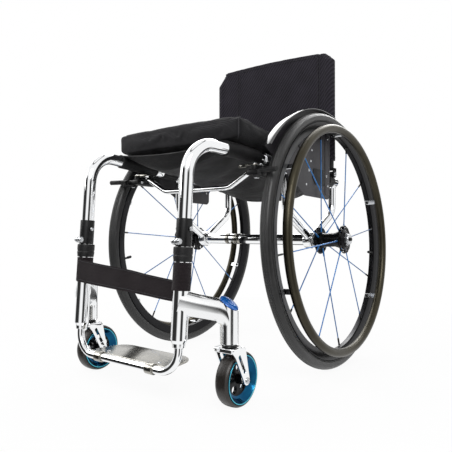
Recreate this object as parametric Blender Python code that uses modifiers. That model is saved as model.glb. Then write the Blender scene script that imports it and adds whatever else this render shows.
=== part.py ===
"""A rigid-frame wheelchair, built as an assembly of separate pieces.

The chair faces -Y, +Z is up and +X is the occupant's left. Lengths are in metres. Every place below is
measured from the rear axle: x = 0 is the middle of the chair, y = 0 is the axle line and z = 0 is the floor.
The empty chair_root then moves the whole chair along Y, so that the origin is the middle of its footprint.
The frame, seat, brake and back pieces that come in pairs are made on the occupant's left and mirrored;
each wheel and castor is built in a frame of its own.
"""

from math import atan2, cos, pi, radians, sin, sqrt, tan

import bmesh
import bpy
from mathutils import Matrix, Vector

GAP = 0.0003  # what touching pieces leave between them
BEND_STEPS = 6  # steps in a bend of a quarter turn

# Rear wheels
TYRE_RADIUS = 0.295
TYRE_SECTION = 0.025
CAMBER = radians(2.4)  # the tops lean in
HALF_TRACK = 0.2195  # from the mid-plane to a wheel's centre
AXLE_HEIGHT = TYRE_RADIUS * cos(CAMBER)
TYRE_GRIP = 0.0035  # how far the rim's lips reach up the tyre's sides
RIM_LIP_RADIUS = TYRE_RADIUS - TYRE_SECTION + TYRE_GRIP
RIM_WELL_DEPTH = 0.004
RIM_WELL_RADIUS = RIM_LIP_RADIUS - RIM_WELL_DEPTH
RIM_DEPTH = 0.0205
RIM_INNER_RADIUS = RIM_LIP_RADIUS - RIM_DEPTH
RIM_WIDTH = 0.021
RIM_LIP = 0.0015
HANDRIM_TUBE = 0.0095
HANDRIM_RISE = 0.0025  # how far the push rim's middle lies outside the rim's inner face
HANDRIM_RADIUS = RIM_INNER_RADIUS + HANDRIM_RISE
HANDRIM_OFFSET = 0.030
HANDRIM_TABS = 6
TAB_WIDTH = 0.012
TAB_THICKNESS = 0.003
WHEEL_STEPS = 36  # sides of a rear wheel
HUB_STEPS = 12  # sides of a rear hub, and of what fits round it or in it
HUB_FLANGE_RADIUS = 0.0325
HUB_BARREL_RADIUS = 0.018
HUB_FLANGE_IN = -0.030
HUB_FLANGE_OUT = 0.034
HUB_FLANGE_THICKNESS = 0.004
HUB_END_IN = -0.040
HUB_END_OUT = 0.040
BEARING_RADIUS = 0.0141
BEARING_WIDTH = 0.008
SPOKE_RADIUS = 0.0013
SPOKE_SLEEVE = 0.0018
SPOKE_STAGGER = 0.003  # how far off the rim's middle a spoke ends
SPOKES_A_SIDE = 6
OUTER_SPOKE_ANGLE = 24.0  # degrees from the top towards the rear, on the left wheel
INNER_SPOKE_ANGLE = -6.0
TAB_ANGLE = 7.0
CASTOR_STEPS = 20  # sides of a castor
RIGHT_WHEEL_SPIN = 2.0  # how far the right wheel has rolled on from the left one

# Axles
AXLE_RADIUS = 0.00635
AXLE_BORE = 0.0068
AXLE_REACH = -0.088  # how deep an axle goes into the camber tube
AXLE_HEAD_RADIUS = 0.0125
AXLE_HEAD = 0.006
BUTTON_RADIUS = 0.0040
BUTTON_TRAVEL = 0.004
BUTTON_DEPTH = 0.016  # how far its socket goes into the hub
CAMBER_TUBE_RADIUS = 0.0135
CAMBER_TUBE_WALL = 0.0022
CAMBER_TUBE_END = 0.175

# Frame tubes
FRAME_TUBE = 0.0127
LOOP_TUBE = 0.0095
LEG_X = 0.137
LEG_BOTTOM = (-0.436, 0.125)  # y and z of the leg's axis at its lower end
LEG_TOP_Z = 0.398
LEG_LEAN = 0.0697  # how far the leg's axis goes back for each metre up
FRAME_LEG_END_Z = 0.240
LEG_END_BORE = 0.0100
LEG_END_DEPTH = 0.045
PLUG_BORE = 0.0102
PLUG_DEPTH = 0.018
PLUG_LIP = 0.0035
FRONT_BEND_RADIUS = 0.095
FRONT_BEND_CORNER = (LEG_X, -0.4113, 0.479)
RAIL_START = (0.154, -0.307, 0.474)
RAIL_SPREAD = 0.0356  # how far the rail goes out for each metre back
RAIL_DROP = 0.075  # how far the rail drops for each metre back
RAIL_BLEND_RADIUS = 0.25
RAIL_BLEND_Y = -0.287  # where the tube has come out to the rail's line
LOOP_HALF_LENGTH = 0.112
RAIL_END_Y = LOOP_HALF_LENGTH + LOOP_TUBE + 0.0015
LOOP_KNEE_Z = 0.362
LOOP_KNEE_RADIUS = 0.045
LOOP_FOOT_RADIUS = 0.020
CLAMP_RADIUS = 0.0195
CLAMP_WIDTH = 0.021
CLAMP_X = 0.1635

# Legs below the frame
SLEEVE_RADIUS = 0.0144
SLEEVE_Z = (0.2885, 0.338)
SLEEVE_BOLT_Z = 0.320
SLEEVE_LUG_Z = 0.298
SLEEVE_LUG_REACH = 0.024
COLLAR_RADIUS = 0.0175
COLLAR_Z = (0.262, 0.288)
LOWER_TUBE = 0.01475
LOWER_BORE = 0.0131
LOWER_TOP_Z = 0.2735
LOWER_PLUG_Z = 0.113
LOWER_PLUG_RADIUS = 0.0110
FOOT_TUBE = 0.0075
FOOT_TUBE_TOP_Z = 0.232
FOOT_BAR_Z = 0.067
FOOT_BEND_RADIUS = 0.042
FOOT_SLIDE_CLEARANCE = 0.0005
PLATE_THICKNESS = 0.0035
PLATE_TOP_Z = 0.0727
PLATE_BACK_Y = -0.352
PLATE_HALF_FRONT = 0.112
PLATE_HALF_BACK = 0.100
PLATE_CORNER = 0.036
PLATE_CLIP_X = 0.072
PLATE_CLIP_HALF = 0.009
STRAP_Z = (0.2118, 0.261)
STRAP_BAND_LEFT_Z = (0.190, 0.2262)  # the band droops, and narrows as it turns behind the left leg
STRAP_BAND_RIGHT_Z = (0.214, 0.2585)
STRAP_RADIUS = 0.01935
STRAP_THICKNESS = 0.0035
STRAP_BAND_LEFT = radians(143)  # where the band meets the left loop, and the right one
STRAP_BAND_RIGHT = radians(-90)

# Castors
CASTOR_X = 0.197
SWIVEL_Y = -0.370
CASTOR_TRAIL = 0.023
CASTOR_RADIUS = 0.050
CASTOR_HALF_WIDTH = 0.0142
CASTOR_SEAT_RADIUS = 0.0400
CASTOR_LIP_RADIUS = 0.0434
HUB_HOLES = 5
HOUSING_RADIUS = 0.01675
HOUSING_BORE = 0.0124
HOUSING_BORE_DEPTH = 0.038
ARM_Z = 0.178  # the top of the elbow's axis; from there the arm climbs to the leg
ARM_SLOPE = radians(12)
ARM_HALF_HEIGHT = 0.021
ARM_FLARE = 0.0025  # what the arm gains in half height where it leaves the leg
ARM_HALF_WIDTH = 0.0165
ARM_ELBOW_RADIUS = 0.030
CAP_SEAT_Z = 0.1873  # where the cap's slanted seat meets the housing's axis
CAP_SLANT = radians(34)
CAP_WAY = radians(8)  # where the seat slants down to: outward, and this much to the rear
CAP_DOME = ((1.0, 0.0), (0.93, 0.0024), (0.72, 0.0042), (0.38, 0.0052))  # share of the radius, height
STEM_RADIUS = 0.0042
FORK_OUTER = 0.023
FORK_LEG = 0.005
FORK_SLOT = 0.0065
FORK_CROWN = (-0.019, 0.018)  # its front and rear, from the swivel
FORK_CROWN_DEPTH = 0.0085
FORK_CROWN_CLEARANCE = 0.003  # between the castor's top and the crown
FORK_TOP_Z = 2 * CASTOR_RADIUS + FORK_CROWN_CLEARANCE + FORK_CROWN_DEPTH
SEAL_HEIGHT = 0.0055  # what the bearing's flange leaves between fork and housing
HOUSING_BOTTOM_Z = FORK_TOP_Z + SEAL_HEIGHT
FORK_FOOT_RADIUS = 0.0085
CASTOR_PIN = 0.0028
CASTOR_BORE = 0.0034

# Seat
CUSHION_FRONT_Y = -0.305
CUSHION_BACK_Y = 0.060
CUSHION_HALF_WIDTH = 0.174
CUSHION_BOTTOM_FRONT_Z = 0.4912  # where it lies on the rails; between them it hangs lower
CUSHION_FRONT_HEIGHT = 0.0480
CUSHION_BACK_HEIGHT = 0.030
CUSHION_CROWN = 0.005
CUSHION_SAG = 0.007
CUSHION_WAIST = 0.004
SLING_INNER = 0.0136
SLING_THICKNESS = 0.0028
SLING_WRAP = (-115, 120)  # degrees round the left rail from its outer side, over the top
SLING_WRAP_STEPS = 10
SLING_LAID_STEPS = 6  # of these, the ones left off where the cloth only lies over the rail
SLING_FRONT_Y = -0.322
SLING_HEM = 0.020  # how far behind its taut front edge the cloth hangs freely
SLING_BACK_Y = 0.0745
SLING_BARE = (-0.209, -0.166)  # where the rail shows between the two sleeves
SLING_EDGE_SAG = 0.008
SLING_FRONT_SAG = 0.034
SLING_BACK_SAG = 0.060
SLING_HOLLOW = (2.0, 3.6)  # how square the sag is, front and rear

# Brakes
BOW_TUBE = 0.0057
BOW_Y = -0.233
BOW_FLAT_Z = 0.408
BOW_FLAT_X = 0.093
BOW_END_Z = 0.4392
BOW_SHOULDER_X = 0.149
BOW_END_X = 0.166
BRAKE_CLAMP_Y = (-0.206, -0.184)
BRAKE_CLAMP_RADIUS = 0.0158
BRAKE_BLOCK_X = (0.158, 0.1885)
BRAKE_BLOCK_Z = (0.4275, 0.4472)
BRAKE_FRONT_Y = -0.262
LEVER_PIVOT = (0.170, -0.250)
LEVER_TIP_X = 0.134
LEVER_THICKNESS = 0.003
SHOE_PIVOT = (0.180, -0.257)
SHOE_BAR_RADIUS = 0.006
SHOE_START = (0.1955, -0.267)
SHOE_END = (0.238, -0.2765)
SHOE_Z = 0.434
BRAKE_PIN = 0.003
BRAKE_PIN_HEAD = 0.0055
SHOE_TONGUE = 0.0048

# Side guards
GUARD_X = 0.1915
GUARD_THICKNESS = 0.002
GUARD_ARC_RADIUS = 0.3075
GUARD_ARC_CENTRE = (-0.012, AXLE_HEIGHT - 0.005)
GUARD_ARC = (-50.0, 12.0)  # degrees from the top, front and rear
GUARD_ARC_STEPS = 8
FENDER_IN = 0.006  # how far the fender reaches in from the guard, and out over the tyre
FENDER_OUT = 0.017
FENDER_RISE = 0.0015
GUARD_BACK_Y = 0.048
GUARD_BOTTOM_Z = 0.392
GUARD_FRONT_Y = -0.080
GUARD_FRONT_Z = 0.396
GUARD_STANDOFFS_Y = (-0.060, 0.030)
STANDOFF_RADIUS = 0.0055

# Back
POST_X = 0.1685
POST_Y = 0.095
POST_TUBE = 0.0125
POST_FOOT_Z = 0.4755
POST_TOP_Z = 0.728
HINGE_Z = 0.460
BRACKET_Y = (0.078, 0.1015)
BRACKET_RADIUS = 0.0155
HINGE_BOSS_RADIUS = 0.0075
HINGE_PIN = 0.0034
HINGE_PIN_HEAD = 0.0058
HINGE_HEAD_THICKNESS = 0.0025
CHEEK_X = (0.0140, 0.0170)  # from the post's axis
CHEEK_HALF_LENGTH = 0.0085
BACK_SLEEVE = 0.0165
BACK_BOTTOM_Z = 0.495
BACK_SLEEVE_TOP_Z = 0.735
BACK_TOP_Z = 0.774
BACK_CROWN = 0.005
BACK_CORNER_X = (0.1825, 0.160)  # half widths at the foot and the head of the cut top corners
BACK_FRONT_Y = 0.083
BACK_PAD_DEPTH = 0.026
BACK_DISH = 0.004
BAR_TUBE = 0.008
BAR_Z = 0.4856
BAR_BOW = 0.032

FRONT_REACH = -0.4507  # the foremost point, on the lower legs
AXLE_Y = (-FRONT_REACH - TYRE_RADIUS) / 2

FINISHES = {
    # colour, roughness, metallic
    "chrome": ((0.86, 0.87, 0.88), 0.08, 1.0),
    "brushed": ((0.72, 0.72, 0.71), 0.32, 1.0),
    "black_metal": ((0.020, 0.020, 0.022), 0.38, 0.6),
    "black_plastic": ((0.022, 0.022, 0.024), 0.45, 0.0),
    "tyre": ((0.030, 0.030, 0.030), 0.75, 0.0),
    "bronze": ((0.115, 0.098, 0.078), 0.33, 0.8),
    "blue_spoke": ((0.030, 0.130, 0.420), 0.35, 0.3),
    "blue_cap": ((0.010, 0.085, 0.520), 0.22, 0.7),
    "blue_hub": ((0.010, 0.120, 0.260), 0.25, 0.8),
    "fabric": ((0.018, 0.017, 0.019), 0.90, 0.0),
    "guard": ((0.045, 0.045, 0.048), 0.50, 0.1),
}


def clear_scene():
    for obj in list(bpy.data.objects):
        bpy.data.objects.remove(obj, do_unlink=True)


def new_collection(name, hidden=False):
    made = bpy.data.collections.new(name)
    bpy.context.scene.collection.children.link(made)
    made.hide_render = hidden
    return made


def finish(name):
    """The material of this name, made on first use."""
    if name in bpy.data.materials:
        return bpy.data.materials[name]
    colour, roughness, metallic = FINISHES[name]
    made = bpy.data.materials.new(name)
    made.use_nodes = True
    shader = made.node_tree.nodes["Principled BSDF"]
    shader.inputs["Base Color"].default_value = (*colour, 1.0)
    shader.inputs["Roughness"].default_value = roughness
    shader.inputs["Metallic"].default_value = metallic
    return made


def part(name, mesh, material, parent):
    """A piece of the chair, its mesh in its parent's frame."""
    obj = bpy.data.objects.new(name, mesh)
    CHAIR.objects.link(obj)
    obj.parent = parent
    mesh.materials.append(finish(material))
    if mesh.polygons:
        mesh.shade_smooth()
        mesh.set_sharp_from_angle(angle=radians(35))
    return obj


def empty(name, location, parent=None, rotation=(0.0, 0.0, 0.0)):
    obj = bpy.data.objects.new(name, None)
    CHAIR.objects.link(obj)
    obj.parent = parent
    obj.location = location
    obj.rotation_euler = rotation
    return obj


def combine(target, operation, *meshes):
    """Joins meshes to a piece, or cuts them from it. They are in the piece's own frame."""
    for mesh in meshes:
        number = len(target.modifiers)
        tool = bpy.data.objects.new(f"{target.name}_{operation.lower()}_{number}", mesh)
        CUTTERS.objects.link(tool)
        tool.hide_render = True
        tool.display_type = "WIRE"
        tool.parent = target
        boolean = target.modifiers.new(f"{operation.lower()}_{number}", "BOOLEAN")
        boolean.operation = operation
        boolean.object = tool
    return target


def join(target, *meshes):
    return combine(target, "UNION", *meshes)


def cut(target, *meshes):
    return combine(target, "DIFFERENCE", *meshes)


def mesh_from(bm, name, transform=None):
    if transform is not None:
        bmesh.ops.transform(bm, matrix=transform, verts=bm.verts)
    bmesh.ops.recalc_face_normals(bm, faces=bm.faces)
    mesh = bpy.data.meshes.new(name)
    bm.to_mesh(mesh)
    bm.free()
    return mesh


def together(meshes):
    """Meshes that don't touch, as one mesh."""
    bm = bmesh.new()
    for mesh in meshes:
        bm.from_mesh(mesh)
    return mesh_from(bm, "together")


def rod(start, end, radius, sides=8, end_radius=None):
    """A solid cylinder or cone between two points."""
    start, end = Vector(start), Vector(end)
    turn = (end - start).to_track_quat("Z", "Y").to_matrix().to_4x4()
    bm = bmesh.new()
    bmesh.ops.create_cone(
        bm,
        cap_ends=True,
        segments=sides,
        radius1=radius,
        radius2=radius if end_radius is None else end_radius,
        depth=(end - start).length,
    )
    return mesh_from(bm, "rod", Matrix.Translation((start + end) / 2) @ turn)


def block(low, high):
    low, high = Vector(low), Vector(high)
    bm = bmesh.new()
    bmesh.ops.create_cube(bm, size=1.0)
    size = Matrix.Diagonal((*(high - low), 1.0))
    return mesh_from(bm, "block", Matrix.Translation((low + high) / 2) @ size)


def rounded_path(corners, radii):
    """Points along straight runs whose inner corners are rounded to the given radii."""
    corners = [Vector(corner) for corner in corners]
    points = [corners[0]]
    for before, corner, after, radius in zip(corners, corners[1:], corners[2:], radii):
        incoming = (corner - before).normalized()
        outgoing = (after - corner).normalized()
        turn = incoming.angle(outgoing)
        axis = incoming.cross(outgoing).normalized()
        inward = axis.cross(incoming)
        start = corner - incoming * radius * tan(turn / 2)
        centre = start + inward * radius
        steps = max(2, round(BEND_STEPS * turn / (pi / 2)))
        for i in range(steps + 1):
            points.append(centre - Matrix.Rotation(turn * i / steps, 3, axis) @ (inward * radius))
    points.append(corners[-1])
    return points


def across(half):
    """A path from the chair's left to its right, from its left half."""
    return [*half, *[(-x, y, z) for x, y, z in reversed(half)]]


def mesh_of_curve(curve, transform=None):
    """The curve's mesh, with its loose caps welded on."""
    obj = bpy.data.objects.new(curve.name, curve)
    CUTTERS.objects.link(obj)
    bpy.context.view_layer.update()
    graph = bpy.context.evaluated_depsgraph_get()
    mesh = bpy.data.meshes.new_from_object(obj.evaluated_get(graph))
    bpy.data.objects.remove(obj, do_unlink=True)
    bm = bmesh.new()
    bm.from_mesh(mesh)
    bmesh.ops.remove_doubles(bm, verts=bm.verts, dist=1e-6)
    return mesh_from(bm, curve.name, transform)


def tube(points, radius, resolution=2):
    """A round bar along a path; resolution 2 gives 8 sides, and each step more gives two more."""
    curve = bpy.data.curves.new("tube", "CURVE")
    curve.dimensions = "3D"
    curve.bevel_depth = radius
    curve.bevel_resolution = resolution
    curve.use_fill_caps = True
    spline = curve.splines.new("POLY")
    spline.points.add(len(points) - 1)
    for place, point in zip(spline.points, points):
        place.co = (*point, 1.0)
    return mesh_of_curve(curve)


PLANES = {
    # the axes that an outline's first and second values and its thickness run along
    "xyz": Matrix.Identity(4),
    "yzx": Matrix(((0, 0, 1, 0), (1, 0, 0, 0), (0, 1, 0, 0), (0, 0, 0, 1))),
}


def plate(outline, low, high, plane="xyz"):
    """A flat outline given thickness from low to high along its plane's third axis."""
    curve = bpy.data.curves.new("plate", "CURVE")
    curve.dimensions = "2D"
    curve.fill_mode = "BOTH"
    curve.extrude = (high - low) / 2
    spline = curve.splines.new("POLY")
    spline.points.add(len(outline) - 1)
    for place, point in zip(spline.points, outline):
        place.co = (*point, 0.0, 1.0)
    spline.use_cyclic_u = True
    return mesh_of_curve(curve, PLANES[plane] @ Matrix.Translation((0, 0, (low + high) / 2)))


def arc(centre, radius, start, end, steps):
    """Points on an arc in a plane, from one angle to another in degrees."""
    angles = [radians(start + (end - start) * i / steps) for i in range(steps + 1)]
    return [(centre[0] + radius * cos(a), centre[1] + radius * sin(a)) for a in angles]


def turned(name, profile, material, parent, steps=24):
    """A piece turned about Z from the (radius, height) points round its section. A section that starts and
    ends on the axis makes a solid, and any other makes a ring."""
    ring = profile[0][0] > 0
    area = sum(a[0] * b[1] - b[0] * a[1] for a, b in zip(profile, [*profile[1:], profile[0]]))
    points = profile[::-1] if area > 0 else profile
    count = len(points)
    edges = [(i, i + 1) for i in range(count - 1)] + ([(count - 1, 0)] if ring else [])
    mesh = bpy.data.meshes.new(name)
    mesh.from_pydata([(r, 0.0, z) for r, z in points], edges, [])
    obj = part(name, mesh, material, parent)
    screw = obj.modifiers.new("turn", "SCREW")
    screw.steps = steps
    screw.render_steps = steps
    screw.use_merge_vertices = True
    screw.merge_threshold = 1e-5
    screw.use_smooth_shade = True
    return obj


def loft(rings):
    """A closed mesh through rings of as many points each."""
    bm = bmesh.new()
    loops = [[bm.verts.new(point) for point in ring] for ring in rings]
    for first, second in zip(loops, loops[1:]):
        for k in range(len(first)):
            bm.faces.new((first[k], first[k - 1], second[k - 1], second[k]))
    bm.faces.new(loops[0])
    bm.faces.new(loops[-1])
    return mesh_from(bm, "loft")


def mirrored(left, name, parent):
    """The same piece for the other side of the chair."""
    bpy.context.view_layer.update()
    graph = bpy.context.evaluated_depsgraph_get()
    mesh = bpy.data.meshes.new_from_object(left.evaluated_get(graph))
    bm = bmesh.new()
    bm.from_mesh(mesh)
    bmesh.ops.transform(bm, matrix=Matrix.Scale(-1, 4, (1, 0, 0)), verts=bm.verts)
    bmesh.ops.reverse_faces(bm, faces=bm.faces)
    bm.to_mesh(mesh)
    bm.free()
    obj = bpy.data.objects.new(name, mesh)
    CHAIR.objects.link(obj)
    obj.parent = parent
    obj.location = (-left.location.x, left.location.y, left.location.z)
    return obj


def both_sides(build, left_frame, right_frame):
    """Builds a left-hand piece and its mirror image, each in its own side's frame."""
    left = build(left_frame)
    mirrored(left, left.name.replace("left", "right"), right_frame)


def rail_x(y):
    return RAIL_START[0] + RAIL_SPREAD * (y - RAIL_START[1])


def rail_z(y):
    return RAIL_START[2] - RAIL_DROP * (y - RAIL_START[1])


def rail_point(y):
    return Vector((rail_x(y), y, rail_z(y)))


def seat_tube(y):
    """A point of the seat tube's axis at y: on its way out to the rail, then on the rail."""
    if y >= RAIL_BLEND_Y:
        return rail_point(y)
    corner = Vector(FRONT_BEND_CORNER)
    share = (y - corner.y) / (RAIL_BLEND_Y - corner.y)
    return corner.lerp(rail_point(RAIL_BLEND_Y), share)


def leg_y(z):
    return LEG_BOTTOM[0] + LEG_LEAN * (z - LEG_BOTTOM[1])


def leg_point(z):
    return Vector((LEG_X, leg_y(z), z))


def up_leg(z):
    """How far up the leg's axis a height lies, from the leg's lower end."""
    return (z - LEG_BOTTOM[1]) * sqrt(1 + LEG_LEAN**2)


def side_frame(parent):
    """Leg, front bend and seat rail in one bent tube, with the V that carries the axle welded under it."""
    corners = (leg_point(FRAME_LEG_END_Z), FRONT_BEND_CORNER, rail_point(RAIL_BLEND_Y), rail_point(RAIL_END_Y))
    main = tube(rounded_path(corners, (FRONT_BEND_RADIUS, RAIL_BLEND_RADIUS)), FRAME_TUBE, 3)
    obj = part("side_frame_left", main, "chrome", parent)
    front, rear = rail_point(-LOOP_HALF_LENGTH), rail_point(LOOP_HALF_LENGTH)
    foot = (rail_x(0), 0.0, AXLE_HEIGHT)
    loop = (front, (front.x, front.y, LOOP_KNEE_Z), foot, (rear.x, rear.y, LOOP_KNEE_Z), rear)
    radii = (LOOP_KNEE_RADIUS, LOOP_FOOT_RADIUS, LOOP_KNEE_RADIUS)
    join(obj, tube(rounded_path(loop, radii), LOOP_TUBE))
    low, high = CLAMP_X - CLAMP_WIDTH / 2, CLAMP_X + CLAMP_WIDTH / 2
    join(obj, rod((low, 0, AXLE_HEIGHT), (high, 0, AXLE_HEIGHT), CLAMP_RADIUS, 16))
    bore = CAMBER_TUBE_RADIUS + 2 * GAP
    cut(obj, rod((low - 0.02, 0, AXLE_HEIGHT), (high + 0.02, 0, AXLE_HEIGHT), bore, 16))
    cut(obj, rod(rail_point(RAIL_END_Y - PLUG_DEPTH - 0.002), rail_point(RAIL_END_Y + 0.01), PLUG_BORE, 12))
    leg_low, leg_high = leg_point(FRAME_LEG_END_Z - 0.01), leg_point(FRAME_LEG_END_Z + LEG_END_DEPTH)
    return cut(obj, rod(leg_low, leg_high, LEG_END_BORE, 12))


def rail_plug(parent):
    """The black plug in the rear end of a seat rail."""
    seat = RAIL_END_Y + 2 * GAP
    shank = rod(rail_point(RAIL_END_Y - PLUG_DEPTH), rail_point(seat + PLUG_LIP / 2), PLUG_BORE - 2 * GAP)
    obj = part("rail_plug_left", shank, "black_plastic", parent)
    return join(obj, rod(rail_point(seat), rail_point(seat + PLUG_LIP), FRAME_TUBE - GAP, 16))


def camber_tube():
    """The cross tube that holds both axles; its end bores lean with the wheels."""
    end, hollow = CAMBER_TUBE_END, CAMBER_TUBE_END - 0.050
    outer = rod((-end, 0, AXLE_HEIGHT), (end, 0, AXLE_HEIGHT), CAMBER_TUBE_RADIUS, 16)
    obj = part("camber_tube", outer, "chrome", ROOT)
    inner = CAMBER_TUBE_RADIUS - CAMBER_TUBE_WALL
    cut(obj, rod((-hollow, 0, AXLE_HEIGHT), (hollow, 0, AXLE_HEIGHT), inner, 16))
    for side in (-1, 1):
        outward = Vector((side * cos(CAMBER), 0, sin(CAMBER)))
        centre = Vector((side * HALF_TRACK, 0, AXLE_HEIGHT))
        cut(obj, rod(centre + outward * (AXLE_REACH - 0.020), centre, AXLE_BORE, 16))


def leg_sleeve(frame):
    """The black clamp sleeve that joins the frame to the lower leg, with its cross bolt and clamp lug."""
    low, high = up_leg(SLEEVE_Z[0]), up_leg(SLEEVE_Z[1])
    bolt, lug = up_leg(SLEEVE_BOLT_Z), up_leg(SLEEVE_LUG_Z)
    obj = part("leg_sleeve_left", rod((0, 0, low), (0, 0, high), SLEEVE_RADIUS, 16), "black_metal", frame)
    reach = SLEEVE_RADIUS + 0.0035
    join(obj, rod((-reach, 0, bolt), (reach, 0, bolt), 0.0046))
    join(obj, block((-0.006, -SLEEVE_LUG_REACH, lug - 0.006), (0.006, 0, lug + 0.006)))
    bolt_y = -SLEEVE_LUG_REACH + 0.005
    join(obj, rod((-0.009, bolt_y, lug), (0.009, bolt_y, lug), 0.0036, 6))
    return cut(obj, rod((0, 0, low - 0.01), (0, 0, high + 0.01), FRAME_TUBE + GAP, 16))


def leg_collar(frame):
    """The ring under the sleeve, with a wide bore over the lower leg and a narrow one over the frame tube."""
    low, high, step = (up_leg(z) for z in (*COLLAR_Z, LOWER_TOP_Z + GAP))
    narrow, wide, bevel = FRAME_TUBE + GAP, LOWER_TUBE + GAP, 0.0012
    profile = [
        (narrow, high),
        (COLLAR_RADIUS, high),
        (COLLAR_RADIUS - bevel, low),
        (wide, low),
        (wide, step),
        (narrow, step),
    ]
    return turned("leg_collar_left", profile, "black_plastic", frame, 16)


def arm_line():
    """Where the castor arm starts, the way it runs in plan, and how far it is to the housing's axis."""
    foot, head = Vector((LEG_X, leg_y(ARM_Z))), Vector((CASTOR_X, SWIVEL_Y))
    return foot, (head - foot).normalized(), (head - foot).length


def arm_mesh(sides=12):
    """Castor arm and housing: rounded sections down from the leg, round the elbow and down the housing."""
    foot, out, span = arm_line()
    turns = [ARM_SLOPE + (pi / 2 - ARM_SLOPE) * i / 4 for i in range(5)]
    elbow = Vector((span - ARM_ELBOW_RADIUS, ARM_Z - ARM_ELBOW_RADIUS))
    start = elbow + ARM_ELBOW_RADIUS * Vector((sin(ARM_SLOPE), cos(ARM_SLOPE)))
    rows = []
    for reach, flare in ((-0.004, ARM_FLARE), (start.x * 0.45, 0.0)):
        rows.append((reach, start.y + (start.x - reach) * tan(ARM_SLOPE), ARM_SLOPE, ARM_HALF_HEIGHT + flare))
    for i, turn in enumerate(turns):
        half = ARM_HALF_HEIGHT + (HOUSING_RADIUS - ARM_HALF_HEIGHT) * i / 4
        place = elbow + ARM_ELBOW_RADIUS * Vector((sin(turn), cos(turn)))
        rows.append((place.x, place.y, turn, half))
    rows.append((span, HOUSING_BOTTOM_Z, pi / 2, HOUSING_RADIUS))
    sideways = Vector((-out.y, out.x, 0.0))
    rings = []
    for reach, height, turn, half in rows:
        centre = Vector((foot.x + out.x * reach, foot.y + out.y * reach, height))
        up = Vector((out.x * sin(turn), out.y * sin(turn), cos(turn)))
        angles = [2 * pi * k / sides for k in range(sides)]
        rings.append([centre + up * half * cos(a) + sideways * ARM_HALF_WIDTH * sin(a) for a in angles])
    return loft(rings)


def cap_cutter():
    """The slanted box that trims the top of the housing to the cap's seat."""
    turn = Matrix.Rotation(CAP_WAY, 4, "Z") @ Matrix.Rotation(CAP_SLANT, 4, "Y")
    box = block((-0.0205, -0.030, -GAP), (0.030, 0.030, 0.030))
    box.transform(Matrix.Translation((CASTOR_X, SWIVEL_Y, CAP_SEAT_Z)) @ turn)
    return box


def lower_leg(parent):
    """The wide lower leg with the castor arm and housing cast onto it."""
    bottom = LEG_BOTTOM[1]
    leg = rod(leg_point(bottom), leg_point(LOWER_TOP_Z), LOWER_TUBE, 16)
    obj = part("lower_leg_left", leg, "chrome", parent)
    plug_top = leg_point(bottom + 0.002)
    join(obj, rod(leg_point(LOWER_PLUG_Z), plug_top, LOWER_PLUG_RADIUS, 20, LOWER_TUBE - 0.001))
    join(obj, arm_mesh())
    housing_top = (CASTOR_X, SWIVEL_Y, ARM_Z + ARM_HALF_HEIGHT)
    join(obj, rod((CASTOR_X, SWIVEL_Y, HOUSING_BOTTOM_Z), housing_top, HOUSING_RADIUS, 16))
    slide = FOOT_TUBE + FOOT_SLIDE_CLEARANCE
    cut(obj, rod(leg_point(bottom + 0.006), leg_point(LOWER_TOP_Z + 0.01), LOWER_BORE, 16))
    cut(obj, rod(leg_point(LOWER_PLUG_Z - 0.01), leg_point(bottom + 0.02), slide, 16))
    cut(obj, cap_cutter())
    bore_top = HOUSING_BOTTOM_Z + HOUSING_BORE_DEPTH
    return cut(obj, rod((CASTOR_X, SWIVEL_Y, 0.09), (CASTOR_X, SWIVEL_Y, bore_top), HOUSING_BORE, 16))


def castor_cap(parent):
    """The blue domed cap on the housing's slanted top."""
    rings = []
    for share, height in CAP_DOME:
        ring = []
        for k in range(16):
            angle = 2 * pi * k / 16
            x, y = HOUSING_RADIUS * share * cos(angle), HOUSING_RADIUS * share * sin(angle)
            downhill = x * cos(CAP_WAY) + y * sin(CAP_WAY)
            ring.append((CASTOR_X + x, SWIVEL_Y + y, CAP_SEAT_Z - downhill * tan(CAP_SLANT) + height))
        rings.append(ring)
    return part("castor_cap_left", loft(rings), "blue_cap", parent)


def footrest_tube():
    """The U under both legs; its ends slide inside them."""
    half = [leg_point(FOOT_TUBE_TOP_Z), leg_point(FOOT_BAR_Z)]
    path = rounded_path(across(half), (FOOT_BEND_RADIUS, FOOT_BEND_RADIUS))
    part("footrest_tube", tube(path, FOOT_TUBE), "chrome", SLIDE)


def footplate():
    """A flat plate with rounded rear corners, clipped round the footrest bar."""
    bar_y, corner = leg_y(FOOT_BAR_Z), PLATE_CORNER
    front, low = bar_y + FOOT_TUBE + 0.0012, PLATE_TOP_Z - PLATE_THICKNESS
    left_corner = arc((PLATE_HALF_BACK - corner, PLATE_BACK_Y - corner), corner, 0, 90, 6)
    right_corner = [(-x, y) for x, y in reversed(left_corner)]
    outline = [(-PLATE_HALF_FRONT, front), (PLATE_HALF_FRONT, front), *left_corner, *right_corner]
    obj = part("footplate", plate(outline, low, PLATE_TOP_Z), "brushed", SLIDE)
    for middle in (-PLATE_CLIP_X, PLATE_CLIP_X):
        start, end = middle - PLATE_CLIP_HALF, middle + PLATE_CLIP_HALF
        join(obj, rod((start, bar_y, FOOT_BAR_Z), (end, bar_y, FOOT_BAR_Z), FOOT_TUBE + 0.0028, 16))
        join(obj, block((start, bar_y, FOOT_BAR_Z - 0.004), (end, bar_y + 0.030, low + 0.001)))
    cut(obj, rod((-0.12, bar_y, FOOT_BAR_Z), (0.12, bar_y, FOOT_BAR_Z), FOOT_TUBE + GAP, 16))


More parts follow.
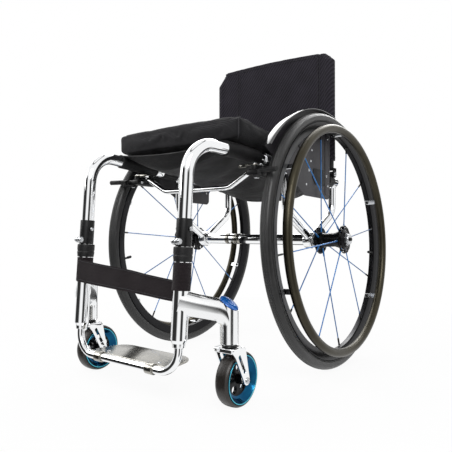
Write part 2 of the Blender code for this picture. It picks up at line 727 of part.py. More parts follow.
def calf_strap(frame):
    """A loop round each leg, and the band from the right leg's front down and behind the left leg."""
    low, high = up_leg(STRAP_Z[0]), up_leg(STRAP_Z[1])
    middle = STRAP_RADIUS - STRAP_THICKNESS / 2 - GAP
    ends = ((-2 * LEG_X, STRAP_BAND_RIGHT, STRAP_BAND_RIGHT_Z), (0.0, STRAP_BAND_LEFT, STRAP_BAND_LEFT_Z))
    rings = []
    for leg_x, angle, heights in ends:
        bottom, top = (up_leg(z) for z in heights)
        x, y = leg_x + middle * cos(angle), middle * sin(angle)
        near, far = y - STRAP_THICKNESS / 2, y + STRAP_THICKNESS / 2
        rings.append([(x, near, bottom), (x, far, bottom), (x, far, top), (x, near, top)])
    obj = part("calf_strap", loft(rings), "fabric", frame)
    for x in (0.0, -2 * LEG_X):
        join(obj, rod((x, 0, low), (x, 0, high), STRAP_RADIUS, 16))
    for x in (0.0, -2 * LEG_X):
        cut(obj, rod((x, 0, low - 0.01), (x, 0, high + 0.01), LOWER_TUBE + GAP, 16))


def rear_wheel(side):
    """One wheel and its axle. Their frames have Z out along the axle and X towards the floor."""
    end = "left" if side > 0 else "right"
    turn = (0.0, pi / 2 - CAMBER, 0.0 if side > 0 else pi)
    spot = empty(f"rear_axle_{end}", (side * HALF_TRACK, 0.0, AXLE_HEIGHT), ROOT, turn)
    spin = 0.0 if side > 0 else -radians(RIGHT_WHEEL_SPIN)
    wheel = empty(f"rear_wheel_{end}", (0, 0, 0), spot, (0.0, 0.0, spin))
    rear_tyre(f"rear_tyre_{end}", wheel)
    rear_rim(f"rear_rim_{end}", wheel)
    handrim(f"handrim_{end}", wheel)
    spokes(f"spokes_{end}", wheel)
    hub(f"hub_{end}", wheel)
    hub_bearing(f"hub_bearing_{end}", wheel)
    axle(f"axle_{end}", spot)
    axle_button(f"axle_button_{end}", spot)


def in_wheel(radius, out, angle):
    """A point of a wheel, by its radius, its offset along the axle and its angle from the top to the rear."""
    return Vector((-radius * cos(radians(angle)), radius * sin(radians(angle)), out))


def rear_tyre(name, wheel):
    middle, section = TYRE_RADIUS - TYRE_SECTION / 2, TYRE_SECTION / 2
    seat, half = RIM_WELL_RADIUS + GAP, RIM_WIDTH / 2 - RIM_LIP - GAP
    neck = RIM_LIP_RADIUS + GAP
    crown = arc((middle, 0.0), section, 126, -126, 6)
    profile = [(seat, half), (neck, half), *crown, (neck, -half), (seat, -half)]
    turned(name, profile, "tyre", wheel, WHEEL_STEPS)


def rear_rim(name, wheel):
    half = RIM_WIDTH / 2
    side = [
        (RIM_INNER_RADIUS, 0.006),
        (RIM_LIP_RADIUS, half),
        (RIM_LIP_RADIUS, half - RIM_LIP),
        (RIM_WELL_RADIUS, half - RIM_LIP),
    ]
    other = [(radius, -out) for radius, out in reversed(side)]
    turned(name, side + other, "black_metal", wheel, WHEEL_STEPS)


def handrim(name, wheel):
    """The push rim, on flat tabs that reach in under the wheel's rim."""
    section = arc((HANDRIM_RADIUS, HANDRIM_OFFSET), HANDRIM_TUBE, 0, 360 * 6 / 7, 6)
    obj = turned(name, section, "bronze", wheel, WHEEL_STEPS)
    outer = RIM_INNER_RADIUS * cos(pi / WHEEL_STEPS) - GAP
    tabs = []
    for i in range(HANDRIM_TABS):
        low = (-outer, -TAB_WIDTH / 2, -0.004)
        high = (TAB_THICKNESS - outer, TAB_WIDTH / 2, HANDRIM_OFFSET - 0.004)
        tab = block(low, high)
        tab.transform(Matrix.Rotation(-radians(TAB_ANGLE + 360 / HANDRIM_TABS * i), 4, "Z"))
        tabs.append(tab)
    join(obj, together(tabs))


def spokes(name, wheel):
    """Twelve spokes in two fans; their inner ends meet in a thin sleeve round the hub's barrel."""
    low, high = HUB_FLANGE_IN + HUB_FLANGE_THICKNESS, HUB_FLANGE_OUT - HUB_FLANGE_THICKNESS
    bore = HUB_BARREL_RADIUS + GAP
    sleeve = rod((0, 0, low + GAP), (0, 0, high - GAP), bore + SPOKE_SLEEVE, HUB_STEPS)
    obj = part(name, sleeve, "blue_spoke", wheel)
    lift = SPOKE_RADIUS + 2 * GAP
    end = RIM_INNER_RADIUS * cos(pi / WHEEL_STEPS) - 2 * GAP
    outer_fan = (OUTER_SPOKE_ANGLE, high - lift, SPOKE_STAGGER)
    inner_fan = (INNER_SPOKE_ANGLE, low + lift, -SPOKE_STAGGER)
    for first, start, tip in (outer_fan, inner_fan):
        angles = [first + 360 / SPOKES_A_SIDE * i for i in range(SPOKES_A_SIDE)]
        fan = [rod(in_wheel(bore, start, a), in_wheel(end, tip, a), SPOKE_RADIUS, 6) for a in angles]
        join(obj, together(fan))
    cut(obj, rod((0, 0, low - 0.01), (0, 0, high + 0.01), bore, HUB_STEPS))


def hub(name, wheel):
    """A spool with two flanges, recessed at its outer end for the bearing."""
    thin, shank = HUB_FLANGE_THICKNESS, AXLE_BORE + 0.0012
    recess = HUB_END_OUT - BEARING_WIDTH
    profile = [
        (shank, recess),
        (BEARING_RADIUS + GAP, recess),
        (BEARING_RADIUS + GAP, HUB_END_OUT),
        (HUB_BARREL_RADIUS, HUB_END_OUT),
        (HUB_BARREL_RADIUS, HUB_FLANGE_OUT),
        (HUB_FLANGE_RADIUS, HUB_FLANGE_OUT - 0.001),
        (HUB_FLANGE_RADIUS, HUB_FLANGE_OUT - thin),
        (HUB_BARREL_RADIUS, HUB_FLANGE_OUT - thin),
        (HUB_BARREL_RADIUS, HUB_FLANGE_IN + thin),
        (HUB_FLANGE_RADIUS, HUB_FLANGE_IN + thin),
        (HUB_FLANGE_RADIUS, HUB_FLANGE_IN + 0.001),
        (HUB_BARREL_RADIUS, HUB_FLANGE_IN),
        (BEARING_RADIUS, HUB_END_IN),
        (shank, HUB_END_IN),
    ]
    turned(name, profile, "black_metal", wheel, HUB_STEPS)


def hub_bearing(name, wheel):
    """The cartridge bearing in a hub's outer end."""
    low, high = HUB_END_OUT - BEARING_WIDTH + GAP, HUB_END_OUT - GAP
    profile = [(AXLE_BORE, high), (BEARING_RADIUS, high), (BEARING_RADIUS, low), (AXLE_BORE, low)]
    turned(name, profile, "brushed", wheel, HUB_STEPS)


def axle(name, spot):
    """A quick-release axle: its shank goes through the hub into the camber tube."""
    head, top = HUB_END_OUT + GAP, HUB_END_OUT + GAP + AXLE_HEAD
    socket, depth = BUTTON_RADIUS + GAP, HUB_END_OUT - BUTTON_DEPTH
    profile = [
        (0.0, AXLE_REACH),
        (AXLE_RADIUS - 0.001, AXLE_REACH),
        (AXLE_RADIUS, AXLE_REACH + 0.002),
        (AXLE_RADIUS, head),
        (AXLE_HEAD_RADIUS, head),
        (AXLE_HEAD_RADIUS, top - 0.001),
        (AXLE_HEAD_RADIUS - 0.001, top),
        (socket, top),
        (socket, depth),
        (0.0, depth),
    ]
    turned(name, profile, "brushed", spot, HUB_STEPS)


def axle_button(name, spot):
    """The button in the axle's head that lets the wheel off."""
    low = HUB_END_OUT - BUTTON_DEPTH + BUTTON_TRAVEL + 0.001
    high = HUB_END_OUT + GAP + AXLE_HEAD + BUTTON_TRAVEL + 0.0007
    edge = [(BUTTON_RADIUS - 0.001, high), (BUTTON_RADIUS, high - 0.001), (BUTTON_RADIUS, low)]
    profile = [(0.0, high), *edge, (0.0, low)]
    turned(name, profile, "black_metal", spot, 12)


def castor(side):
    """Bearing, fork, wheel and pin of one castor. The wheel's frame has Z along its axle."""
    end = "left" if side > 0 else "right"
    swivel = empty(f"castor_swivel_{end}", (side * CASTOR_X, SWIVEL_Y, FORK_TOP_Z), ROOT)
    wheel_place = (0.0, CASTOR_TRAIL, CASTOR_RADIUS - FORK_TOP_Z)
    wheel = empty(f"castor_wheel_{end}", wheel_place, swivel, (0.0, pi / 2, 0.0))
    castor_bearing(f"castor_bearing_{end}", swivel)
    castor_fork(f"castor_fork_{end}", swivel)
    castor_tyre(f"castor_tyre_{end}", wheel)
    castor_hub(f"castor_hub_{end}", wheel)
    castor_pin(f"castor_axle_{end}", wheel)


def castor_bearing(name, swivel):
    """The flanged bearing that fills the housing; its flange is the dark ring under it."""
    flange_top = HOUSING_BOTTOM_Z - GAP - FORK_TOP_Z
    top, low = flange_top + HOUSING_BORE_DEPTH - 0.001, 2 * GAP
    bore, outer = STEM_RADIUS + 0.0006, HOUSING_BORE - GAP
    profile = [
        (bore, top),
        (outer, top),
        (outer, flange_top),
        (HOUSING_RADIUS - 0.0015, flange_top),
        (HOUSING_RADIUS - 0.0035, low),
        (bore, low),
    ]
    turned(name, profile, "black_metal", swivel, 12)


def castor_fork(name, swivel):
    """Crown, two slotted legs and stem in one casting."""
    outer, inner = FORK_OUTER, FORK_OUTER - FORK_LEG
    drop = CASTOR_RADIUS - FORK_TOP_Z
    front, rear = FORK_CROWN
    crown = block((-outer, front, -FORK_CROWN_DEPTH), (outer, rear, 0.0))
    obj = part(name, crown, "chrome", swivel)
    foot = arc((CASTOR_TRAIL, drop), FORK_FOOT_RADIUS, 190, 350, 6)
    outline = [(front, 0.0), *foot, (rear + 0.001, -0.005), (rear - 0.004, 0.0)]
    join(obj, plate(outline, inner, outer, "yzx"), plate(outline, -outer, -inner, "yzx"))
    join(obj, rod((0, 0, -0.003), (0, 0, HOUSING_BORE_DEPTH), STEM_RADIUS, 12))
    low, high, half = drop + 0.015, -0.013, FORK_SLOT / 2
    low_y, high_y = CASTOR_TRAIL - 0.006, -0.001
    slot = [(low_y - half, low), (low_y + half, low), (high_y + half, high), (high_y - half, high)]
    cut(obj, plate(slot, -0.05, 0.05, "yzx"))
    cut(obj, rod((-0.05, CASTOR_TRAIL, drop), (0.05, CASTOR_TRAIL, drop), CASTOR_PIN + GAP, 12))


def castor_tyre(name, wheel):
    half = CASTOR_HALF_WIDTH
    side = [
        (CASTOR_SEAT_RADIUS + GAP, 0.0080),
        (CASTOR_LIP_RADIUS + GAP, 0.0096),
        (CASTOR_LIP_RADIUS + 0.0012, half),
        (CASTOR_RADIUS - 0.0020, 0.0118),
        (CASTOR_RADIUS, 0.0060),
    ]
    other = [(radius, -out) for radius, out in reversed(side)]
    turned(name, side + other, "tyre", wheel, CASTOR_STEPS)


def castor_hub(name, wheel):
    """A dished hub with lightening holes in its web."""
    web = 0.0035
    side = [
        (CASTOR_BORE, FORK_OUTER - FORK_LEG - 0.0010),
        (0.0085, FORK_OUTER - FORK_LEG - 0.0010),
        (0.0090, web),
        (0.0330, web),
        (CASTOR_LIP_RADIUS, CASTOR_HALF_WIDTH),
        (CASTOR_LIP_RADIUS, 0.0099),
        (CASTOR_SEAT_RADIUS, 0.0083),
    ]
    other = [(radius, -out) for radius, out in reversed(side)]
    obj = turned(name, side + other, "blue_hub", wheel, CASTOR_STEPS)
    angles = [360 / HUB_HOLES * i for i in range(HUB_HOLES)]
    places = [in_wheel(0.0215, 0.0, angle) for angle in angles]
    up = Vector((0, 0, 0.02))
    cut(obj, together([rod(place - up, place + up, 0.0072, 6) for place in places]))


def castor_pin(name, wheel):
    """The pin through the fork and the castor's hub, with a flat head at both ends."""
    near, far = FORK_OUTER + GAP, FORK_OUTER + 0.0030
    side = [(0.0, far), (0.0055, far), (0.0058, near), (CASTOR_PIN, near)]
    other = [(radius, -out) for radius, out in reversed(side)]
    turned(name, side + other, "brushed", wheel, 12)


def brake_bow():
    """The bent cross tube between the two brakes."""
    ends = [(BOW_END_X, BOW_Y, BOW_END_Z), (BOW_SHOULDER_X, BOW_Y, BOW_END_Z)]
    half = [*ends, (BOW_FLAT_X, BOW_Y, BOW_FLAT_Z)]
    path = rounded_path(across(half), (0.018, 0.034, 0.034, 0.018))
    part("brake_bow", tube(path, BOW_TUBE), "chrome", ROOT)


def brake_body(parent):
    """The clamp on the seat rail and the block under it that carries the lever and the shoe."""
    (x0, x1), (z0, z1), (low, high) = BRAKE_BLOCK_X, BRAKE_BLOCK_Z, BRAKE_CLAMP_Y
    ring = rod(rail_point(low), rail_point(high), BRAKE_CLAMP_RADIUS, 16)
    obj = part("brake_body_left", ring, "black_metal", parent)
    join(obj, block((x0, BRAKE_FRONT_Y, z0), (x1, high - 0.001, z1)))
    join(obj, block((x0 + 0.001, low + 0.001, z0 + 0.001), (x1 - 0.006, high - 0.002, z1 + 0.010)))
    (pivot_x, pivot_y), lever_top = LEVER_PIVOT, z1 + 2 * GAP + LEVER_THICKNESS
    join(obj, rod((pivot_x, pivot_y, z1 - 0.002), (pivot_x, pivot_y, lever_top + 0.001), BRAKE_PIN))
    head = (pivot_x, pivot_y, lever_top + 0.0025)
    join(obj, rod((pivot_x, pivot_y, lever_top + GAP), head, BRAKE_PIN_HEAD))
    (pin_x, pin_y), shoe_low = SHOE_PIVOT, z0 - GAP - SHOE_TONGUE
    join(obj, rod((pin_x, pin_y, z0 + 0.002), (pin_x, pin_y, shoe_low - 0.001), BRAKE_PIN))
    join(obj, rod((pin_x, pin_y, shoe_low - GAP), (pin_x, pin_y, shoe_low - 0.0025), BRAKE_PIN_HEAD))
    cut(obj, rod(rail_point(low - 0.02), rail_point(high + 0.02), FRAME_TUBE + GAP, 16))
    socket = (BOW_END_X + 2 * GAP, BOW_Y, BOW_END_Z)
    return cut(obj, rod((x0 - 0.02, BOW_Y, BOW_END_Z), socket, BOW_TUBE + GAP, 12))


def brake_lever(parent):
    """A flat lever under the seat; its origin is on its pivot."""
    tip = LEVER_TIP_X - LEVER_PIVOT[0]
    outline = arc((0, 0), 0.0075, -90, 90, 6) + arc((tip + 0.006, 0), 0.006, 90, 270, 6)
    obj = part("brake_lever_left", plate(outline, 0, LEVER_THICKNESS), "brushed", parent)
    obj.location = (*LEVER_PIVOT, BRAKE_BLOCK_Z[1] + GAP)
    return cut(obj, rod((0, 0, -0.01), (0, 0, 0.01), BRAKE_PIN + 2 * GAP))


def brake_shoe(parent):
    """The round bar that presses on the tyre; its origin is on its pivot."""
    (px, py), top = SHOE_PIVOT, BRAKE_BLOCK_Z[0] - GAP
    start = Vector((SHOE_START[0] - px, SHOE_START[1] - py, 0.0))
    end = Vector((SHOE_END[0] - px, SHOE_END[1] - py, 0.0))
    outline = arc((0, 0), 0.0075, 60, 240, 6) + arc((start.x, start.y), 0.006, -110, 60, 6)
    obj = part("brake_shoe_left", plate(outline, -SHOE_TONGUE, 0.0), "black_plastic", parent)
    obj.location = (px, py, top)
    up = Vector((0, 0, SHOE_Z - top))
    join(obj, rod(start - Vector((0, 0, SHOE_TONGUE - 0.001)), start + up, 0.0056))
    join(obj, rod(start - (end - start).normalized() * 0.004 + up, end + up, SHOE_BAR_RADIUS))
    return cut(obj, rod((0, 0, -0.02), (0, 0, 0.02), BRAKE_PIN + 2 * GAP))


def sling_half(y):
    """The seat sling's left half section at y: round the rail and down into the sag."""
    middle = SLING_INNER + SLING_THICKNESS / 2
    tube_axis = seat_tube(y)
    wrap = arc((tube_axis.x, tube_axis.z), middle, *SLING_WRAP, SLING_WRAP_STEPS)
    share = (y - SLING_FRONT_Y) / (SLING_BACK_Y - SLING_FRONT_Y)
    sag = SLING_FRONT_SAG + (SLING_BACK_SAG - SLING_FRONT_SAG) * share
    if y == SLING_FRONT_Y:
        sag = SLING_EDGE_SAG
    power = SLING_HOLLOW[0] + (SLING_HOLLOW[1] - SLING_HOLLOW[0]) * share
    edge_x, edge_z = wrap[-1]
    falls = [i / 4 for i in range(1, 5)]
    return wrap + [(edge_x * (1 - t), edge_z - sag * (1 - (1 - t) ** power)) for t in falls]


def seat_sling():
    """Black cloth between the rails: sleeves round them in front of the brakes, laid over them behind."""
    hem = SLING_FRONT_Y + SLING_HEM
    behind = [SLING_BARE[1] + (SLING_BACK_Y - SLING_BARE[1]) * i / 3 for i in range(4)]
    rows = [SLING_FRONT_Y, hem, RAIL_BLEND_Y, SLING_BARE[0], *behind]
    bm = bmesh.new()
    grid = []
    for y in rows:
        half = sling_half(y)
        section = half + [(-x, z) for x, z in reversed(half[:-1])]
        grid.append([bm.verts.new((x, y, z)) for x, z in section])
    last = len(grid[0]) - 2
    for y, first, second in zip(rows, grid, grid[1:]):
        laid = SLING_LAID_STEPS if y > SLING_BARE[0] else 0
        open_columns = SLING_WRAP_STEPS + 1 if y == SLING_BARE[0] else laid
        for c in range(open_columns, last + 1 - open_columns):
            bm.faces.new((first[c], first[c + 1], second[c + 1], second[c]))
    loose = [vert for vert in bm.verts if not vert.link_faces]
    bmesh.ops.delete(bm, geom=loose, context="VERTS")
    obj = part("seat_sling", mesh_from(bm, "sling"), "fabric", ROOT)
    shell = obj.modifiers.new("thickness", "SOLIDIFY")
    shell.thickness = SLING_THICKNESS
    shell.offset = 0.0


def seat_cushion():
    """A thick pad, crowned on top, with drawn-in sides and an underside that sags to the sling."""
    bm = bmesh.new()
    bmesh.ops.create_cube(bm, size=2.0)
    bmesh.ops.subdivide_edges(bm, edges=bm.edges, cuts=3, use_grid_fill=True)
    length = CUSHION_BACK_Y - CUSHION_FRONT_Y
    spread = (0.0, 0.85, 1.0)
    for vert in bm.verts:
        u, v, w = (spread[round(abs(c) * 2)] * (1 if c > 0 else -1) for c in vert.co)
        t = (v + 1) / 2
        height = CUSHION_FRONT_HEIGHT + (CUSHION_BACK_HEIGHT - CUSHION_FRONT_HEIGHT) * t
        low = CUSHION_BOTTOM_FRONT_Z - RAIL_DROP * length * t
        sag = CUSHION_SAG * max(0.0, 1 - (u / 0.8) ** 2)
        swell = CUSHION_CROWN * (1 - u * u) if w > 0 else -sag
        z = low + height * (w + 1) / 2 + swell * abs(w) * (1 - v**4)
        x = u * (CUSHION_HALF_WIDTH - CUSHION_WAIST * (1 - v * v) * (1 - w * w))
        vert.co = (x, CUSHION_FRONT_Y + length * t, z)
    obj = part("seat_cushion", mesh_from(bm, "cushion"), "fabric", ROOT)
    rounding = obj.modifiers.new("rounding", "SUBSURF")
    rounding.levels = 1
    rounding.render_levels = 1


def guard_point(x, rise, angle):
    """A point of the guard's arc, by how far out and how far above it, and its angle from the top."""
    y, z = GUARD_ARC_CENTRE
    radius = GUARD_ARC_RADIUS + rise
    return Vector((GUARD_X + x, y + radius * sin(angle), z + radius * cos(angle)))


def side_guard(parent):
    """A flat guard beside the seat, with a fender moulded along its top and two standoffs to the rail."""
    start, end = (radians(angle) for angle in GUARD_ARC)
    angles = [start + (end - start) * i / GUARD_ARC_STEPS for i in range(GUARD_ARC_STEPS + 1)]
    half = GUARD_THICKNESS / 2
    top = [guard_point(0.0, -half, a) for a in angles]
    outline = [(point.y, point.z) for point in top]
    outline += [(GUARD_BACK_Y, GUARD_BOTTOM_Z), (GUARD_FRONT_Y, GUARD_FRONT_Z)]
    sheet = plate(outline, GUARD_X - half, GUARD_X + half, "yzx")
    obj = part("side_guard_left", sheet, "guard", parent)
    corners = [(-FENDER_IN, 0.0), (FENDER_OUT, FENDER_RISE)]
    corners += [(x, rise - GUARD_THICKNESS) for x, rise in reversed(corners)]
    join(obj, loft([[guard_point(x, rise, a) for x, rise in corners] for a in angles]))
    for y in GUARD_STANDOFFS_Y:
        inner = rail_x(y) + FRAME_TUBE + GAP
        join(obj, rod((inner, y, rail_z(y)), (GUARD_X, y, rail_z(y)), STANDOFF_RADIUS))
    return obj


def on_hinge(start, end, radius):
    """A round bar along the back's hinge line, between two distances out from the left post's axis."""
    return rod((POST_X + start, POST_Y, HINGE_Z), (POST_X + end, POST_Y, HINGE_Z), radius)


def back_bracket(parent):
    """The clamp on the rail's rear end that the back hinges on."""
    (low, high), (inner, outer) = BRACKET_Y, CHEEK_X
    ring = rod(rail_point(low), rail_point(high), BRACKET_RADIUS, 16)
    obj = part("back_bracket_left", ring, "black_metal", parent)
    boss, pin, head = inner - 2 * GAP, outer + GAP + HINGE_HEAD_THICKNESS, outer + GAP
    join(obj, on_hinge(-boss, boss, HINGE_BOSS_RADIUS), on_hinge(-pin, pin, HINGE_PIN))
    join(obj, on_hinge(head, pin, HINGE_PIN_HEAD), on_hinge(-pin, -head, HINGE_PIN_HEAD))
    return cut(obj, rod(rail_point(low - 0.02), rail_point(high + 0.02), FRAME_TUBE + GAP, 16))


def back_post(frame):
    """A back post on a forked foot, about the back's hinge line."""
    foot, top = POST_FOOT_Z - HINGE_Z, POST_TOP_Z - HINGE_Z
    (inner, outer), half = CHEEK_X, CHEEK_HALF_LENGTH
    post = rod((POST_X, 0, foot), (POST_X, 0, top), POST_TUBE, 16)
    obj = part("back_post_left", post, "black_metal", frame)
    join(obj, block((POST_X - outer, -half, foot - 0.005), (POST_X + outer, half, foot + 0.001)))
    cheek = arc((0, 0), half, 180, 360, 6) + [(half, foot - 0.001), (-half, foot - 0.001)]
    join(obj, plate(cheek, POST_X + inner, POST_X + outer, "yzx"))
    join(obj, plate(cheek, POST_X - outer, POST_X - inner, "yzx"))
    return cut(obj, rod((POST_X - 0.03, 0, 0), (POST_X + 0.03, 0, 0), HINGE_PIN + 2 * GAP))


def back_bar():
    """The bar that ties the posts together, bowed to the rear to leave room for the sitter."""
    end, z = POST_X - POST_TUBE - GAP, BAR_Z - HINGE_Z
    half = [(end, 0.0, z), (end - 0.022, 0.004, z), (end - 0.062, BAR_BOW, z)]
    path = rounded_path(across(half), (0.020, 0.035, 0.035, 0.020))
    part("back_bar", tube(path, BAR_TUBE), "black_metal", BACK)


def back_section(z):
    """The back's outline at a height, from above: a padded panel, with sleeves at its ends below its top."""
    wide = z <= BACK_SLEEVE_TOP_Z
    share = (z - BACK_SLEEVE_TOP_Z) / (BACK_TOP_Z - BACK_SLEEVE_TOP_Z)
    reach = BACK_CORNER_X[0] + (BACK_CORNER_X[1] - BACK_CORNER_X[0]) * share
    half = POST_X - 0.010 if wide else reach - 0.010
    front = BACK_FRONT_Y - POST_Y
    depth = BACK_PAD_DEPTH if wide else BACK_PAD_DEPTH * 0.75
    steps = [1 - i / 4 for i in range(9)]
    face = [(half * s, front + BACK_DISH * (1 - s * s)) for s in steps]
    if wide:
        end = arc((POST_X, 0.0), BACK_SLEEVE, 100, -100, 6)
    else:
        end = arc((half, front + depth / 2), 0.0095, 75, -75, 6)
    rear = [(-half * s, front + depth + BACK_DISH * (1 - s * s)) for s in steps]
    return [*face, *[(-x, y) for x, y in reversed(end)], *rear, *end]


def back_upholstery():
    """The padded back with its sleeves, which slide down over the posts."""
    tall = BACK_SLEEVE_TOP_Z - BACK_BOTTOM_Z
    heights = [BACK_BOTTOM_Z + tall * share for share in (0.0, 0.33, 0.67, 0.93, 1.0)]
    heights += [BACK_SLEEVE_TOP_Z + 0.003, BACK_TOP_Z]
    rings = []
    for z in heights:
        crown = BACK_CROWN if z == BACK_TOP_Z else 0.0
        section = back_section(z)
        rings.append([(x, y, z - HINGE_Z + crown * (1 - (x / BACK_CORNER_X[1]) ** 2)) for x, y in section])
    obj = part("back_upholstery", loft(rings), "fabric", BACK)
    bottom, top = BACK_BOTTOM_Z - HINGE_Z - 0.01, POST_TOP_Z - HINGE_Z + GAP
    for x in (-POST_X, POST_X):
        cut(obj, rod((x, 0, bottom), (x, 0, top), POST_TUBE + 2 * GAP, 16))


clear_scene()
CHAIR = new_collection("rigid_wheelchair")
CUTTERS = new_collection("cutters", hidden=True)
ROOT = empty("chair_root", (0.0, AXLE_Y, 0.0))
SLIDE = empty("footrest_slide", (0.0, 0.0, 0.0), ROOT)
BACK = empty("back_hinge", (0.0, POST_Y, HINGE_Z), ROOT)
LEG_TILT = (-atan2(LEG_LEAN, 1.0), 0.0, 0.0)
LEFT_LEG = empty("leg_axis_left", (LEG_X, *LEG_BOTTOM), ROOT, LEG_TILT)
RIGHT_LEG = empty("leg_axis_right", (-LEG_X, *LEG_BOTTOM), ROOT, LEG_TILT)

for piece in (side_frame, rail_plug, lower_leg, castor_cap, side_guard, back_bracket):
    both_sides(piece, ROOT, ROOT)
for piece in (brake_body, brake_lever, brake_shoe):
    both_sides(piece, ROOT, ROOT)
for piece in (leg_sleeve, leg_collar):
    both_sides(piece, LEFT_LEG, RIGHT_LEG)
both_sides(back_post, BACK, BACK)
calf_strap(LEFT_LEG)
for piece in (camber_tube, footrest_tube, footplate, brake_bow):
    piece()
for piece in (seat_sling, seat_cushion, back_bar, back_upholstery):
    piece()
for side in (1, -1):
    rear_wheel(side)
    castor(side)
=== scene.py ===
"""Dresses the rigid wheelchair: smooth metalwork, padded seat goods, finishes, light and camera.

Lengths are in metres. As in the part's source, every place is measured from the rear axle: x = 0 is the
middle of the chair, y = 0 is the axle line and z = 0 is the floor. Each mesh is moved to the row frame last.
The chair faces -Y and +X is the occupant's left.
"""

from math import atan2, cos, pi, radians, sin, tan

import bmesh
import bpy
from mathutils import Euler, Matrix, Vector, noise


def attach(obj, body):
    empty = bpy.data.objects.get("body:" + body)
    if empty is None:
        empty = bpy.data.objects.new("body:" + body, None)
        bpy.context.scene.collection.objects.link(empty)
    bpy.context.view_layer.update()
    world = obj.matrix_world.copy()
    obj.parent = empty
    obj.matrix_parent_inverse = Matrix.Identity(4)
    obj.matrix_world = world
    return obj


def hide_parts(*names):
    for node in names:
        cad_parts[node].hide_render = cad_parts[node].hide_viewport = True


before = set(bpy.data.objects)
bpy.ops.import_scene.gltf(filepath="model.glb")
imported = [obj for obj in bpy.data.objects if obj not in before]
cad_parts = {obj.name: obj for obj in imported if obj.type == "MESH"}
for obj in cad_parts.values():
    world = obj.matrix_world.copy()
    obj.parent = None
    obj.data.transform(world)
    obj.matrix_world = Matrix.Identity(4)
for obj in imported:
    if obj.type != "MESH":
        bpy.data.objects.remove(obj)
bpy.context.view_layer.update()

AXLE_SHIFT = Vector((0.0, 0.07785, 0.0))  # from the rear axle's frame to the row frame
SIDES = (("left", 1), ("right", -1))

# Rear wheels
TYRE_RADIUS = 0.295
TYRE_SECTION = 0.025
CAMBER = radians(2.4)
HALF_TRACK = 0.2195
AXLE_HEIGHT = TYRE_RADIUS * cos(CAMBER)
RIM_LIP_RADIUS = 0.2735
RIM_WELL_RADIUS = 0.2695
RIM_INNER_RADIUS = 0.253
RIM_WIDTH = 0.021
HANDRIM_RADIUS = 0.2555
HANDRIM_TUBE = 0.0095
HANDRIM_OFFSET = 0.030
TAB_ANGLES = [7 + 60 * i for i in range(6)]
TAB_RADIUS = 0.2525
VALVE_ANGLE = 99
SPOKE_RADIUS = 0.0013
SPOKE_ROOT = 0.0183
SPOKE_END = 0.2524
OUTER_FAN = (24.0, 0.0281, 0.003)  # first angle, offset at the hub, offset at the rim
INNER_FAN = (-6.0, -0.0241, -0.003)
RIGHT_WHEEL_SPIN = radians(2.0)

# Frame tubes
FRAME_TUBE = 0.0127
LOOP_TUBE = 0.0095
LOOP_REACH = 0.112  # from the axle forwards and backwards
LOOP_KNEE_Z = 0.362
FIT = 0.0003  # the play between parts that are slid together
LEG_X = 0.137
LEG_BOTTOM = (-0.436, 0.125)
LEG_LEAN = 0.0697
FRONT_BEND_CORNER = (LEG_X, -0.4113, 0.479)
FRONT_BEND_RADIUS = 0.095
RAIL_BLEND_RADIUS = 0.25
RAIL_BLEND_Y = -0.287
RAIL_START = (0.154, -0.307, 0.474)
RAIL_SPREAD = 0.0356
RAIL_DROP = 0.075
RAIL_END_Y = 0.123
CAMBER_TUBE = 0.0135
CAMBER_TUBE_END = 0.175
CLAMP_RADIUS = 0.0195
CLAMP_X = (0.153, 0.174)

# Legs, footrest and castors
LOWER_TUBE = 0.01475
LOWER_TOP_Z = 0.2735
SLEEVE_Z = (0.2885, 0.338)
COLLAR_Z = (0.262, 0.288)
FOOT_TUBE = 0.0075
FOOT_TUBE_TOP_Z = 0.232
FOOT_BEND_RADIUS = 0.042
FOOT_BAR_Z = 0.067
PLATE_REAR_Y = -0.352
PLATE_CLIP_X = 0.072
PLATE_TOP_Z = 0.0727
STRAP_Z = (0.2120, 0.2608)
STRAP_THICKNESS = 0.0020
STRAP_MIDDLE = LOWER_TUBE + 0.0004 + STRAP_THICKNESS / 2  # the loops' radius to the middle of the webbing
STRAP_BAND_RIGHT_Z = (0.214, 0.2585)
STRAP_BAND_LEFT_Z = (0.190, 0.2262)
CASTOR_X = 0.197
SWIVEL_Y = -0.370
CASTOR_TRAIL = 0.023
CASTOR_RADIUS = 0.050
HOUSING_RADIUS = 0.01675
HOUSING_BOTTOM_Z = 0.117
ARM_Z = 0.178
ARM_SLOPE = radians(12)
ARM_HALF_HEIGHT = 0.021
ARM_HALF_WIDTH = 0.0165
ARM_BEND = 0.030
CAP_SEAT_Z = 0.1873
CAP_SLANT = radians(34)
CAP_WAY = radians(8)
FORK_TOP_Z = 0.1115
FORK_CROWN_DEPTH = 0.0085
FORK_OUTER = 0.023
FORK_LEG = 0.005
FORK_SLOT_HALF = 0.00325

# Brakes
BRAKE_LEVER_PIVOT = (0.170, -0.250)
BRAKE_LEVER_TIP_X = 0.134
BRAKE_SHOE_PIVOT = (0.180, -0.257)
BRAKE_INNER_X = 0.158
BRAKE_OUTER_X = 0.1885
BRAKE_BOLT_Z = 0.4330
BRAKE_BAR_RADIUS = 0.0054
BRAKE_BAR_START = (0.1955, -0.267, 0.434)
BRAKE_BAR_END = (0.238, -0.2765, 0.434)

# Seat, guards and back
SLING_FRONT_Y = -0.322
SLING_BACK_Y = 0.0745
